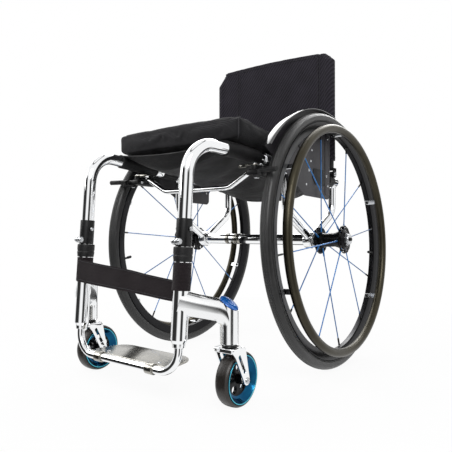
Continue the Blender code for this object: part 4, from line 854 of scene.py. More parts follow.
def leg_sleeves():
    """The clamp sleeve with its cross bolt and lug, and the ring collar under it."""
    bolt, lug = leg_point(0.320), leg_point(0.298)
    ends = [Vector((side * 0.0162, 0, 0)) for side in (-1, 1)]
    shapes = [ring(leg_point(SLEEVE_Z[0]), leg_point(SLEEVE_Z[1]), 0.0144, FRAME_TUBE + FIT, 56, 0.0008)]
    shapes += [rod(bolt + end * (0.0128 / 0.0162), bolt + end, 0.0050, 24, 0.0008) for end in ends]
    pair("leg_clamp_sleeve_*", shapes, PAINT, "frame", ["leg_sleeve_*"])
    outline = rounded([(-0.024, -0.006), (-0.011, -0.006), (-0.011, 0.006), (-0.024, 0.006)], 0.005, True)
    ears = []
    for inner in (-0.006, 0.0012):
        ears.append(plate([outline], inner, inner + 0.0048, Matrix.Translation(lug) @ YZX, 0.0006))
    bolts = [screw(bolt + end, end, 0.0040, 0.0016) for end in ends]
    bolts.append(rod(lug + Vector((-0.0092, -0.0185, 0)), lug + Vector((0.0098, -0.0185, 0)), 0.0046, 24))
    pair("leg_clamp_bolts_*", bolts + ears, STEEL, "frame")
    low = leg_point(COLLAR_Z[0])
    tall = (leg_point(COLLAR_Z[1]) - low).length
    step = (leg_point(LOWER_TOP_Z + FIT) - low).length
    narrow, wide, outer = FRAME_TUBE + FIT, LOWER_TUBE + FIT, 0.0175
    waist = outer - 0.0007
    profile = [
        (narrow, tall), (outer - 0.0008, tall), (outer, tall - 0.002), (outer, tall * 0.55),
        (waist, tall * 0.5), (waist, tall * 0.42), (outer, tall * 0.37), (outer - 0.0012, 0.0),
        (wide, 0.0), (wide, step), (narrow, step),
    ]
    pair("leg_adjust_collar_*", [lathe(profile, 56, towards(low, LEG_WAY), 0.0005, True)], PLASTIC, "frame",
         ["leg_collar_*"])


def castor_arm():
    """The cast arm: rounded sections down from the leg, round the elbow and down to the housing's foot."""
    foot, head = Vector((LEG_X, leg_point(ARM_Z).y)), Vector((CASTOR_X, SWIVEL_Y))
    out, span = (head - foot).normalized(), (head - foot).length
    elbow = Vector((span - ARM_BEND, ARM_Z - ARM_BEND))
    start = elbow + ARM_BEND * Vector((sin(ARM_SLOPE), cos(ARM_SLOPE)))
    # each row is a section's reach along the arm, height, turn from upright, half height and half width
    rows = []
    for reach, flare in ((-0.004, 0.0028), (0.004, 0.0018), (start.x * 0.45, 0.0)):
        height = start.y + (start.x - reach) * tan(ARM_SLOPE)
        rows.append((reach, height, ARM_SLOPE, ARM_HALF_HEIGHT + flare, ARM_HALF_WIDTH))
    for i in range(13):
        turn = ARM_SLOPE + (pi / 2 - ARM_SLOPE) * i / 12
        half = ARM_HALF_HEIGHT + (HOUSING_RADIUS - ARM_HALF_HEIGHT) * i / 12
        place = elbow + ARM_BEND * Vector((sin(turn), cos(turn)))
        rows.append((place.x, place.y, turn, half, ARM_HALF_WIDTH))
    for lift, inset in ((0.0008, 0.0), (0.0, 0.0008)):
        rows.append((span, HOUSING_BOTTOM_Z + lift, pi / 2, HOUSING_RADIUS - inset, HOUSING_RADIUS - inset))
    bm = bmesh.new()
    sideways = Vector((-out.y, out.x, 0.0))
    before = []
    for reach, height, turn, half, wide in rows:
        up = Vector((out.x * sin(turn), out.y * sin(turn), cos(turn)))
        matrix = Matrix((up * half, sideways * wide, up.cross(sideways))).transposed().to_4x4()
        matrix.translation = Vector((*(foot + out * reach), height))
        made = bmesh.ops.create_circle(bm, segments=48, radius=1.0, matrix=matrix)["verts"]
        edges = list({edge for vert in made for edge in vert.link_edges})
        if before:
            bmesh.ops.bridge_loops(bm, edges=before + edges)
        before = edges
    bmesh.ops.holes_fill(bm, edges=bm.edges, sides=0)
    housing = rod((*head, HOUSING_BOTTOM_Z + 0.002), (*head, ARM_Z + ARM_HALF_HEIGHT), HOUSING_RADIUS, 48)
    return [trimmed_to_cap(mesh_from(bm)), trimmed_to_cap(housing)]


def trimmed_to_cap(mesh):
    """The mesh below the cap's slanted seat."""
    bm = bmesh.new()
    bm.from_mesh(mesh)
    seat = (CASTOR_X, SWIVEL_Y, CAP_SEAT_Z)
    normal = Vector((sin(CAP_SLANT) * cos(CAP_WAY), sin(CAP_SLANT) * sin(CAP_WAY), cos(CAP_SLANT)))
    parts = bm.verts[:] + bm.edges[:] + bm.faces[:]
    bmesh.ops.bisect_plane(bm, geom=parts, plane_co=seat, plane_no=normal, clear_outer=True)
    bmesh.ops.holes_fill(bm, edges=bm.edges, sides=0)
    return mesh_from(bm)


def lower_legs():
    foot = leg_point(LEG_BOTTOM[1])
    tall = (leg_point(LOWER_TOP_Z) - foot).length
    profile = [
        (0.0080, -0.0105), (0.0110, -0.0115), (0.0118, -0.004), (0.0138, 0.0), (LOWER_TUBE, 0.002),
        (LOWER_TUBE, tall), (0.0131, tall), (0.0131, 0.006), (0.0080, 0.004),
    ]
    leg = lathe(profile, 56, towards(foot, LEG_WAY), 0.0008, True)
    pair("lower_leg_tube_*", [leg], CHROME, "frame", ["lower_leg_*"])
    pair("castor_arm_cast_*", castor_arm(), CAST_CHROME, "frame")
    dome = [
        (0.0, 0.0054), (0.0060, 0.0052), (0.0115, 0.0043), (0.0152, 0.0026), (HOUSING_RADIUS, 0.0002),
        (0.0, 0.0),
    ]
    cap = lathe(dome, 56, None, 0.002)
    slope = Matrix.Identity(4)
    slope[2][0], slope[2][1] = -cos(CAP_WAY) * tan(CAP_SLANT), -sin(CAP_WAY) * tan(CAP_SLANT)
    cap.transform(Matrix.Translation((CASTOR_X, SWIVEL_Y, CAP_SEAT_Z + 0.0002)) @ slope)
    pair("castor_dome_cap_*", [cap], CAP_BLUE, "frame", ["castor_cap_*"])


# Footrest


def footrest():
    half = [leg_point(FOOT_TUBE_TOP_Z), leg_point(FOOT_BAR_Z)]
    bend = (FOOT_BEND_RADIUS, FOOT_BEND_RADIUS)
    shapes = [tube(rounded(across(half), bend, step=radians(4)), FOOT_TUBE, 12)]
    piece("footrest_u_tube", shapes, CHROME, "footrest", ["footrest_tube"])
    bar_y = leg_point(FOOT_BAR_Z).y
    front, low = bar_y + FOOT_TUBE + 0.0012, PLATE_TOP_Z - 0.0035
    outline = [(-0.112, front), (0.112, front), (0.100, PLATE_REAR_Y), (-0.100, PLATE_REAR_Y)]
    shapes = [plate([rounded(outline, (0.003, 0.036, 0.036, 0.003), True)], low, PLATE_TOP_Z, None, 0.0008)]
    bolts = []
    under = FOOT_BAR_Z - 0.004
    for x in (-PLATE_CLIP_X, PLATE_CLIP_X):
        left, right = x - 0.009, x + 0.009
        ends = (left, bar_y, FOOT_BAR_Z), (right, bar_y, FOOT_BAR_Z)
        shapes.append(ring(*ends, FOOT_TUBE + 0.0028, FOOT_TUBE + FIT, 40))
        shapes.append(block((left, bar_y + 0.0078, under), (right, bar_y + 0.030, low + 0.0005)))
        bolts.append(screw((x, bar_y + 0.0225, under), (0, 0, -1), 0.0036))
        bolts.append(screw((x, bar_y + 0.0225, PLATE_TOP_Z), (0, 0, 1), 0.0040, 0.0014))
    piece("footplate_sheet", shapes, BRUSHED, "footrest", ["footplate"])
    piece("footplate_bolts", bolts, STEEL, "footrest")


# Castors


def castors():
    """Bearing, fork, wheel and pin; the fork stands about the swivel and the wheel about its own axle."""
    swivel = Matrix.Translation((CASTOR_X, SWIVEL_Y, FORK_TOP_Z))
    profile = [
        (0.0048, 0.043), (0.0121, 0.043), (0.0121, 0.0057), (0.0152, 0.0057), (0.0152, 0.0042),
        (0.0138, 0.0036), (0.0132, 0.0006), (0.0048, 0.0006),
    ]
    seal = lathe(profile, 48, swivel, 0.0003, True)
    pair("castor_seal_*", [seal], PAINT, "frame", ["castor_bearing_*"])
    castor_forks(swivel)
    castor_wheels()


def castor_forks(swivel):
    drop, inner, rear, front = CASTOR_RADIUS - FORK_TOP_Z, FORK_OUTER - FORK_LEG, -0.019, 0.018
    crown = [(rear, -FORK_CROWN_DEPTH), (front, -FORK_CROWN_DEPTH), (front, 0.0), (rear, 0.0)]
    shapes = [plate([rounded(crown, 0.0022, True)], -inner - 0.0006, inner + 0.0006, YZX, 0.0009)]
    foot = arc((CASTOR_TRAIL, drop), 0.0085, 190, 350, 10)
    outline = rounded([(rear, 0.0), *foot, (0.019, -0.005), (0.014, 0.0)], 0.0025, True)
    low_end, high_end = Vector((CASTOR_TRAIL - 0.006, drop + 0.015)), Vector((-0.001, -0.013))
    way = (high_end - low_end).normalized()
    side = Vector((-way.y, way.x)) * FORK_SLOT_HALF
    slot = rounded([low_end - side, low_end + side, high_end + side, high_end - side], 0.0028, True)
    for start in (inner, -FORK_OUTER):
        shapes.append(plate([outline, slot], start, start + FORK_LEG, YZX, 0.0009))
    shapes.append(rod((0, 0, -0.003), (0, 0, 0.038), 0.0042, 20))
    for shape in shapes:
        shape.transform(swivel)
    pair("castor_fork_cast_*", shapes, CHROME, "castor_fork_*", ["castor_fork_*"])
    centre = Vector((CASTOR_X, SWIVEL_Y + CASTOR_TRAIL, CASTOR_RADIUS))
    along = Vector((FORK_OUTER + FIT, 0, 0))
    shapes = [rod(centre - along, centre + along, 0.0028, 20)]
    for way in (1, -1):
        shapes.append(screw(centre + way * along, (way, 0, 0), 0.0056, 0.0026))
    pair("castor_pin_*", shapes, STEEL, "castor_fork_*", ["castor_axle_*"])


def castor_wheels():
    centre = (CASTOR_X, SWIVEL_Y + CASTOR_TRAIL, CASTOR_RADIUS)
    place = Matrix.Translation(centre) @ Matrix.Rotation(pi / 2, 4, "Y")
    tread = [
        (0.0403, 0.0080), (0.0437, 0.0096), (0.0446, 0.0142), (0.0474, 0.0128), (0.0493, 0.0092),
        (CASTOR_RADIUS, 0.0040),
    ]
    tyre = lathe(both_faces(tread), 96, place, 0.0016, True)
    pair("castor_tread_*", [tyre], CASTOR_TYRE, "castor_wheel_*", ["castor_tyre_*"])
    face = [
        (0.0300, 0.0036), (0.0345, 0.0046), (0.0405, 0.0122), (0.0418, 0.0141), (0.0434, 0.0142),
        (0.0434, 0.0098), (0.0400, 0.0083),
    ]
    dish = lathe(both_faces(face), 96, place, 0.0006, True)
    pair("castor_dish_*", [dish], TEAL, "castor_wheel_*")
    # the lips get the paler teal, a painted highlight along the dish's rim
    lips = []
    lip = ((0.0412, 0.0139), (0.0418, 0.0147), (0.0434, 0.0148), (0.0437, 0.0140))
    for way in (1, -1):
        lips.append(lathe([(radius, way * out) for radius, out in lip], 96, place, 0.0002, True))
    pair("castor_dish_lips_*", lips, TEAL_PAINTED_HIGHLIGHT, "castor_wheel_*")
    windows = [circle(spot, 0.0070, 28) for spot in arc((0, 0), 0.0215, 180, 180 + 288, 4)]
    outlines = [circle((0, 0), 0.0335, 96), circle((0, 0), 0.0040, 24), *windows]
    web = plate(outlines, -0.0035, 0.0035, place, 0.0008)
    boss = both_faces([(0.0034, 0.0168), (0.0066, 0.0168), (0.0080, 0.0150), (0.0090, 0.0040)])
    hub_boss = lathe(boss, 48, place, 0.0005, True)
    pair("castor_web_*", [web, hub_boss], BLACK_WEB, "castor_wheel_*", ["castor_hub_*"])


# Rear wheels


def rear_wheels():
    for side, sign in SIDES:
        place = wheel_frame(sign)
        body = f"rear_wheel_{side}"
        rear_tyre(side, place, body)
        rear_rim(side, place, body)
        push_rim(side, place, body)
        spokes(side, place, body)
        hub(side, place, body)
        axle(side, wheel_frame(sign, False))


def rear_tyre(side, place, body):
    section = TYRE_SECTION / 2
    middle = TYRE_RADIUS - section
    grooved = []
    for radius, out in arc((middle, 0.0), section, 122, -122, 44):
        # two shallow grooves run round the tread, and a moulded line round each wall
        sink = 0.0007 if 0.0035 < abs(out) < 0.0046 else 0.0
        lift = 0.0004 if 0.0112 < abs(out) < 0.0121 and radius < middle + 0.006 else 0.0
        shrink = (section - sink + lift) / section
        grooved.append((middle + (radius - middle) * shrink, out * shrink))
    bead = [(RIM_WELL_RADIUS + FIT, 0.0087), (RIM_LIP_RADIUS + FIT, 0.0087)]
    other = [(radius, -out) for radius, out in reversed(bead)]
    tyre = lathe([*bead, *grooved, *other], 240, place, 0.0, True)
    piece(f"drive_tyre_{side}", [tyre], RUBBER, body, [f"rear_tyre_{side}"])


def rear_rim(side, place, body):
    face = [
        (RIM_INNER_RADIUS, 0.0052), (0.2550, 0.0066), (0.2660, 0.0092),
        (RIM_LIP_RADIUS - 0.0012, RIM_WIDTH / 2), (RIM_LIP_RADIUS, 0.0103), (RIM_LIP_RADIUS, 0.0090),
        (RIM_WELL_RADIUS, 0.0090),
    ]
    rim = lathe(both_faces(face), 240, place, 0.0008, True)
    piece(f"drive_rim_{side}", [rim], BLACK_RIM, body, [f"rear_rim_{side}"])
    # the valve, between two spokes, with its ring nut and cap
    start = in_wheel(RIM_INNER_RADIUS + 0.001, 0.0, VALVE_ANGLE)
    inward = in_wheel(-1.0, 0.0, VALVE_ANGLE)
    profile = [
        (0.0, -0.002), (0.0042, -0.002), (0.0042, 0.0018), (0.0026, 0.0022), (0.0026, 0.012),
        (0.0034, 0.0125), (0.0034, 0.0225), (0.0024, 0.0240), (0.0, 0.0242),
    ]
    valve = lathe(profile, 24, place @ towards(start, inward), 0.0003)
    piece(f"tyre_valve_{side}", [valve], PAINT, body)


def push_rim(side, place, body):
    section = arc((HANDRIM_RADIUS, HANDRIM_OFFSET), HANDRIM_TUBE, 0, 345, 23)
    piece(f"push_rim_{side}", [lathe(section, 240, place, 0.0, True)], BRONZE, body, [f"handrim_{side}"])
    corners = [(-0.006, -0.0040), (0.006, -0.0040), (0.006, 0.0240), (-0.006, 0.0240)]
    outline = rounded(corners, (0.0055, 0.0055, 0.001, 0.001), True)
    tabs, bolts = [], []
    for angle in TAB_ANGLES:
        turned = place @ Matrix.Rotation(-radians(angle), 4, "Z")
        tabs.append(plate([outline], -TAB_RADIUS, 0.0027 - TAB_RADIUS, turned @ YZX, 0.0006))
        head = turned @ Vector((0.0028 - TAB_RADIUS, 0.0, 0.0015))
        bolts.append(screw(head, turned.to_3x3() @ Vector((1, 0, 0)), 0.0042, 0.0026))
    piece(f"push_rim_tabs_{side}", tabs, TAB_STEEL, body)
    piece(f"push_rim_bolts_{side}", bolts, PAINT, body)


def spokes(side, place, body):
    wires, nipples = [], []
    for first, start, tip in (OUTER_FAN, INNER_FAN):
        for i in range(6):
            angle = first + 60 * i
            root, end = in_wheel(SPOKE_ROOT, start, angle), in_wheel(SPOKE_END, tip, angle)
            along, length = place @ towards(root, end - root), (end - root).length
            thin, near = length - 0.012, length - 0.0175
            wire = [
                (0.0, 0.0), (0.0021, 0.001), (0.0021, 0.018), (SPOKE_RADIUS, 0.022), (SPOKE_RADIUS, thin),
                (0.0, thin),
            ]
            nipple = [
                (0.0, near), (0.0019, near), (0.0021, near + 0.003), (0.0021, length - 0.003),
                (0.0029, length - 0.001), (0.0, length),
            ]
            wires.append(lathe(wire, 12, along))
            nipples.append(lathe(nipple, 12, along))
    piece(f"spoke_fan_{side}", wires, SPOKE_BLUE, body, [f"spokes_{side}"])
    piece(f"spoke_nipples_{side}", nipples, PAINT, body)


def hub(side, place, body):
    """A spool with a wavy flange for each fan, pierced at and between its spokes, and the outer race."""
    barrel = [
        (0.0080, -0.0400), (0.0135, -0.0400), (0.0150, -0.0345), (0.0178, -0.0300), (0.0178, -0.0220),
        (0.0160, -0.0150), (0.0160, 0.0100), (0.0225, 0.0290), (0.0225, 0.0345), (0.0180, 0.0370),
        (0.0176, 0.0400), (0.0144, 0.0400), (0.0144, 0.0325), (0.0080, 0.0325),
    ]
    shapes = [lathe(barrel, 64, place, 0.001, True)]
    for low, first in ((-0.0300, INNER_FAN[0]), (0.0300, OUTER_FAN[0])):
        wavy = []
        for i in range(144):
            angle = 2.5 * i
            from_spoke = (angle - first + 30) % 60 - 30
            radius = 0.0325 - 0.0016 * min(1.0, abs(abs(from_spoke) - 15) / 15) ** 2
            wavy.append(in_wheel(radius, 0.0, angle).xy)
        holes = [circle((0, 0), 0.0165, 48)]
        for i in range(6):
            for offset, size in ((30, 0.0036), (0, 0.0022)):
                holes.append(circle(in_wheel(0.0268, 0.0, first + 60 * i + offset).xy, size, 20))
        shapes.append(plate([wavy, *holes], low, low + 0.0040, place, 0.0006))
    piece(f"hub_spool_{side}", shapes, BLACK_RIM, body, [f"hub_{side}"])
    profile = [
        (0.0068, 0.0397), (0.0085, 0.0397), (0.0088, 0.0390), (0.0118, 0.0390), (0.0121, 0.0397),
        (0.0141, 0.0397), (0.0141, 0.0323), (0.0068, 0.0323),
    ]
    race = lathe(profile, 48, place, 0.0, True)
    piece(f"hub_race_{side}", [race], STEEL, body, [f"hub_bearing_{side}"])


def axle(side, place):
    profile = [
        (0.0, -0.088), (0.0052, -0.088), (0.0063, -0.086), (0.0063, 0.0403), (0.0122, 0.0403),
        (0.0125, 0.0412), (0.0125, 0.0435), (0.0116, 0.0440), (0.0116, 0.0446), (0.0123, 0.0450),
        (0.0116, 0.0463), (0.0058, 0.0463), (0.0050, 0.0456), (0.0043, 0.0456), (0.0043, 0.0240),
        (0.0, 0.0240),
    ]
    shaft = lathe(profile, 56, place, 0.0002)
    piece(f"quick_axle_{side}", [shaft], STEEL, "frame", [f"axle_{side}"])
    profile = [
        (0.0, 0.0508), (0.0022, 0.0508), (0.0034, 0.0504), (0.0040, 0.0494), (0.0040, 0.0290),
        (0.0, 0.0290),
    ]
    button = lathe(profile, 32, place, 0.0002)
    name = f"axle_button_{side}"
    piece(f"release_button_{side}", [button], PAINT, name, [name])


# Brakes


def brake_bow():
    """The bent tube that joins the two brakes."""
    half = [(0.1655, -0.233, 0.4392), (0.149, -0.233, 0.4392), (0.093, -0.233, 0.408)]
    bow = tube(rounded(across(half), (0.018, 0.034, 0.034, 0.018), step=radians(4)), 0.0057, 10)
    piece("brake_cross_bow", [bow], CHROME, "frame", ["brake_bow"])


def brake_clamps():
    """The stepped block under the rail, the band that holds it and their bolts."""
    lever, shoe = BRAKE_LEVER_PIVOT, BRAKE_SHOE_PIVOT
    shapes = [
        block((BRAKE_INNER_X, -0.262, 0.4275), (BRAKE_OUTER_X, -0.185, 0.4385), 0.0018),
        block((0.1595, -0.246, 0.4380), (0.1875, -0.187, 0.4472), 0.0016),
        block((0.1620, -0.205, 0.4460), (0.1810, -0.186, 0.4570), 0.0014),
        rod((*lever, 0.4380), (*lever, 0.4474), 0.0070, 28),
        rod((*shoe, 0.4280), (*shoe, 0.4210), 0.0030, 20),
    ]
    pair("brake_clamp_*", shapes, PAINT, "frame", ["brake_body_*"])
    band = ring(rail_point(-0.206), rail_point(-0.184), 0.0158, FRAME_TUBE + FIT, 48, 0.0008)
    pair("brake_rail_band_*", [band], BAND_CHROME, "frame")
    bolts = [
        rod((*lever, 0.4470), (*lever, 0.4512), 0.0030, 20),
        screw((*lever, 0.4510), (0, 0, 1), 0.0052, 0.0022),
        screw((*shoe, 0.4218), (0, 0, -1), 0.0052, 0.0020),
        screw((BRAKE_OUTER_X, -0.2180, BRAKE_BOLT_Z), (1, 0, 0), 0.0038),
        screw((BRAKE_OUTER_X, -0.1950, BRAKE_BOLT_Z), (1, 0, 0), 0.0038),
        screw((BRAKE_INNER_X, -0.2480, BRAKE_BOLT_Z), (-1, 0, 0), 0.0034),
    ]
    pair("brake_bolts_*", bolts, STEEL, "frame")


def brake_handles():
    """The flat lever that points inwards, with its finger tab turned down."""
    tip = BRAKE_LEVER_TIP_X - BRAKE_LEVER_PIVOT[0]
    outline = arc((0, 0), 0.0075, -90, 90, 14) + arc((tip + 0.006, 0), 0.006, 90, 270, 12)
    place = Matrix.Translation((*BRAKE_LEVER_PIVOT, 0.4475))
    shapes = [
        plate([outline, circle((0, 0), 0.0036, 24)], 0, 0.003, place, 0.0006),
        block((tip + 0.002, -0.0052, 0.0026), (tip + 0.011, 0.0052, 0.0036), 0.0008, place),
        block((tip + 0.002, -0.0076, -0.0036), (tip + 0.021, -0.0058, 0.0028), 0.0008, place),
    ]
    pair("brake_handle_*", shapes, BRUSHED, "brake_lever_*", ["brake_lever_*"])


def brake_press_bars():
    """The bar that presses on the tyre, with two turned grooves, on a tongue from its pivot."""
    start = Vector(BRAKE_BAR_START)
    way = Vector(BRAKE_BAR_END) - start
    long = way.length + 0.004
    way.normalize()
    wide, neck = BRAKE_BAR_RADIUS, BRAKE_BAR_RADIUS - 0.0006
    bar = [(0.0, 0.0), (0.0047, 0.0), (wide, 0.0012)]
    for groove in (0.014, long - 0.006):
        bar += [(wide, groove), (neck, groove + 0.0004), (neck, groove + 0.0022), (wide, groove + 0.0026)]
    bar += [(wide, long - 0.0012), (0.0047, long), (0.0, long)]
    tongue = arc(BRAKE_SHOE_PIVOT, 0.0075, 60, 240, 14) + arc(start.xy, 0.006, -110, 60, 14)
    shapes = [
        plate([tongue, circle(BRAKE_SHOE_PIVOT, 0.0036, 24)], 0.4224, 0.4272, None, 0.0006),
        rod(start - Vector((0, 0, 0.0108)), start, wide, 24),
        lathe(bar, 32, towards(start - way * 0.004, way), 0.0004),
    ]
    pair("brake_press_bar_*", shapes, PLASTIC, "brake_shoe_*", ["brake_shoe_*"])


# Guards and back frame


def guard_outline():
    """The guard's side view: an arc over the tyre, then down its rear edge and along its foot."""
    y, z = GUARD_ARC_CENTRE
    first, last = GUARD_ARC
    top = arc((y, z), GUARD_ARC_RADIUS, 90 - first, 90 - last, 40)
    foot = rounded([top[-1], *GUARD_FOOT, top[0]], 0.012)
    return top + [(point.x, point.y) for point in foot[1:-1]]


def side_guards():
    skin = GUARD_X + GUARD_HALF_THICKNESS
    shapes = [plate([guard_outline()], GUARD_X - GUARD_HALF_THICKNESS, skin, YZX, 0.0006)]
    for y in GUARD_STANDOFF_Y:
        spot = rail_point(y)
        shapes.append(rod((spot.x + FRAME_TUBE + FIT, y, spot.z), (GUARD_X, y, spot.z), 0.0055, 24))
    rear = rounded([(0.0455, 0.570), (0.0225, 0.570), (0.0225, 0.402), (0.0455, 0.402)], 0.004, True)
    shapes.append(plate([rear], GUARD_X + 0.0008, GUARD_X + 0.0020, YZX, 0.0004))
    pair("side_guard_sheet_*", shapes, SHEET, "frame", ["side_guard_*"])
    pair("fender_lip_*", [fender_lip()], FENDER, "frame")
    corners = [(0.0215, 0.462), (-0.036, 0.462), (-0.044, 0.440), (-0.030, 0.424), (0.0215, 0.424)]
    stiffener = plate([rounded(corners, 0.004, True)], GUARD_X + 0.0008, GUARD_X + 0.0022, YZX, 0.0004)
    pair("guard_stiffener_*", [stiffener], STIFFENER, "frame")
    rivets = []
    profile = [(0.0, 0.0012), (0.0016, 0.0010), (0.0029, 0.0004), (0.0031, -0.0002), (0.0, -0.0002)]
    for y, z in GUARD_RIVETS:
        # those on the rear strip stand a little further out
        outside = GUARD_X + 0.0022 if y > 0.03 else skin
        rivets.append(lathe(profile, 20, towards((outside, y, z), (1, 0, 0))))
        rivets.append(lathe(profile, 20, towards((GUARD_X - GUARD_HALF_THICKNESS, y, z), (-1, 0, 0))))
    rivets += [screw((skin, y, rail_point(y).z), (1, 0, 0), 0.0040, 0.0018) for y in GUARD_STANDOFF_Y]
    pair("guard_rivets_*", rivets, STEEL, "frame")


def fender_lip():
    """The guard's top edge turned out over the tyre, rolled at its outer rim."""
    bm = bmesh.new()
    rise = (
        (-0.0060, -0.0022), (-0.0052, -0.0012), (-0.0020, -0.0002), (0.0040, 0.0006), (0.0110, 0.0012),
        (0.0152, 0.0010), (0.0166, 0.0002), (0.0170, -0.0010),
    )
    first, last = (radians(angle) for angle in GUARD_ARC)
    verts = [bm.verts.new((GUARD_X + out, 0, GUARD_ARC_RADIUS + up)) for out, up in rise]
    edges = [bm.edges.new(ends) for ends in zip(verts, verts[1:])]
    bmesh.ops.rotate(bm, verts=verts, cent=(0, 0, 0), matrix=Matrix.Rotation(-first, 3, "X"))
    bmesh.ops.spin(bm, geom=verts + edges, cent=(0, 0, 0), axis=(-1, 0, 0), angle=last - first, steps=60)
    bmesh.ops.recalc_face_normals(bm, faces=bm.faces)
    bmesh.ops.solidify(bm, geom=bm.faces[:], thickness=0.0014)
    return mesh_from(bm, Matrix.Translation((0, *GUARD_ARC_CENTRE)))


def back_frame():
    """Each cane on its forked foot, the clamp and hinge bolt that carry it, and the bowed bar between."""
    hinge = Vector((POST_X, POST_Y, HINGE_Z))
    shapes = [ring(rail_point(0.078), rail_point(0.1015), 0.0155, FRAME_TUBE + FIT, 48, 0.0008)]
    for reach, radius, steps in ((0.0134, 0.0075, 32), (0.0192, 0.0034, 24)):
        half = Vector((reach, 0, 0))
        shapes.append(rod(hinge - half, hinge + half, radius, steps))
    pair("back_hinge_clamp_*", shapes, PAINT, "frame", ["back_bracket_*"])
    bolts = [screw(hinge + Vector((way * 0.0173, 0, 0)), (way, 0, 0), 0.0056, 0.0024) for way in (1, -1)]
    pair("back_hinge_bolts_*", bolts, STEEL, "frame")
    deep = 0.0085
    shapes = [
        rod((POST_X, POST_Y, 0.4735), (POST_X, POST_Y, POST_TOP_Z), POST_TUBE, 48, 0.0015),
        block((POST_X - 0.017, POST_Y - deep, 0.4705), (POST_X + 0.017, POST_Y + deep, 0.4765), 0.0010),
    ]
    cheek = arc((POST_Y, HINGE_Z), deep, 180, 360, 16) + [(POST_Y + deep, 0.4745), (POST_Y - deep, 0.4745)]
    for low in (POST_X + 0.0140, POST_X - 0.0170):
        shapes.append(plate([cheek, circle((POST_Y, HINGE_Z), 0.0040, 24)], low, low + 0.0030, YZX, 0.0005))
    pair("back_cane_*", shapes, PAINT, "back", ["back_post_*"])
    end = POST_X - POST_TUBE - FIT
    bow = ((0, 0), (0.022, 0.004), (0.062, 0.032))
    half = [(end - inward, POST_Y + rear, BACK_BAR_Z) for inward, rear in bow]
    bar = tube(rounded(across(half), (0.020, 0.035, 0.035, 0.020), step=radians(4)), 0.008, 10)
    piece("back_cross_bar", [bar], PAINT, "back", ["back_bar"])


# Soft goods


def sling_section(y, u):
    """The cloth's middle at y, for u from -1 to 1 across it: round the tube, then down into the sag."""
    side = 1 if u > 0 else -1
    share = 1 - abs(u)
    spot = seat_tube(y)
    deep = (y - SLING_FRONT_Y) / (SLING_BACK_Y - SLING_FRONT_Y)
    slack = min(1.0, (y - SLING_FRONT_Y) / 0.022)
    sag = 0.008 + 0.026 * slack * slack * (3 - 2 * slack) + 0.026 * deep
    turn = radians(SLING_LEAVES - 360 * max(0.0, 1 - share / SLING_WRAP))
    inward = max(0.0, (share - SLING_WRAP) / (1 - SLING_WRAP))
    x = side * (spot.x + SLING_MIDDLE * cos(turn)) * (1 - inward)
    z = spot.z + SLING_MIDDLE * sin(turn) - sag * (1 - (1 - inward) ** (2 + 1.6 * deep))
    return Vector((x, y, z))


def sling_wrinkle(x, y):
    """Folds that run in from the rails and soft dents between them."""
    across = sin(x * 42 + noise.noise((x * 9, y * 14, 2.0)) * 2.2)
    folds = noise.noise((x * 7, y * 26 + x * 9, 0.5)) * 0.0050 + noise.noise((x * 20, y * 50, 4.0)) * 0.0012
    return folds + 0.0006 * across


def sling_place(y, u, loose):
    """A place on the sling with its folds, of which loose is the share that is left near a hem."""
    place = sling_section(y, u)
    free = min(1.0, max(0.0, (1 - abs(u) - SLING_WRAP - 0.02) / 0.12))
    place.z += sling_wrinkle(place.x, y) * free * loose
    return place


def seat_sling():
    """The sling round both seat tubes, cut away at each brake and laid on the rail behind it."""
    length = SLING_BACK_Y - SLING_FRONT_Y
    bm = bmesh.new()
    bmesh.ops.create_grid(bm, x_segments=160, y_segments=76, size=1.0)
    gone = []
    for face in bm.faces:
        centre = face.calc_center_median()
        y = SLING_FRONT_Y + length * (centre.y + 1) / 2
        share = 1 - abs(centre.x)
        bare_from, bare_to, laid_from = SLING_CUT[-1 if centre.x < 0 else 1]
        bare = bare_from < y < bare_to and share < SLING_WRAP + 0.03
        if bare or (y >= laid_from and share < SLING_WRAP * 0.74):
            gone.append(face)
    bmesh.ops.delete(bm, geom=gone, context="FACES")
    for vert in bm.verts:
        y = SLING_FRONT_Y + length * (vert.co.y + 1) / 2
        hem = min(1.0, (y - SLING_FRONT_Y) / 0.012, (SLING_BACK_Y - y) / 0.012)
        vert.co = sling_place(y, vert.co.x, max(0.25, hem))
    bmesh.ops.recalc_face_normals(bm, faces=bm.faces)
    if sum(face.normal.z for face in bm.faces) < 0:
        bmesh.ops.reverse_faces(bm, faces=bm.faces)
    area = area_of(bm)
    bmesh.ops.solidify(bm, geom=bm.faces[:], thickness=SLING_THICKNESS)
    sling = piece("sling_cloth", [mesh_from(bm)], NYLON, "frame", ["seat_sling"], 60)
    under = Vector((0, 0, -SLING_THICKNESS * 0.55))
    hems = []
    for y in (SLING_FRONT_Y + 0.0055, SLING_BACK_Y - 0.0055):
        line = [sling_place(y, -0.62 + 1.24 * i / 80, 0.46) + under for i in range(81)]
        hems.append(tube(line, 0.0006, 2))
    stitches = piece("sling_stitching", hems, THREAD, "frame")


def band_place(share, rise):
    """A place on the calf band, by its share of the way from the right loop's front down to the left loop's
    rear and by its share of the band's height."""
    right, left = Vector((-LEG_X, -STRAP_MIDDLE - STRAP_THICKNESS)), Vector((LEG_X - 0.0140, 0.0104))
    bottom, top = Vector(STRAP_BAND_RIGHT_Z).lerp(Vector(STRAP_BAND_LEFT_Z), share)
    free = 4 * share * (1 - share)
    z = bottom + (top - bottom) * rise - 0.0006 * free * sin(9 * share)
    ripple = free * (0.0010 * sin(11 * share + 2.2 * rise) + 0.0006 * sin(27 * share - 1.4 * rise))
    plan = right.lerp(left, share)
    return Vector((plan.x, leg_point(z).y + plan.y + ripple, z))


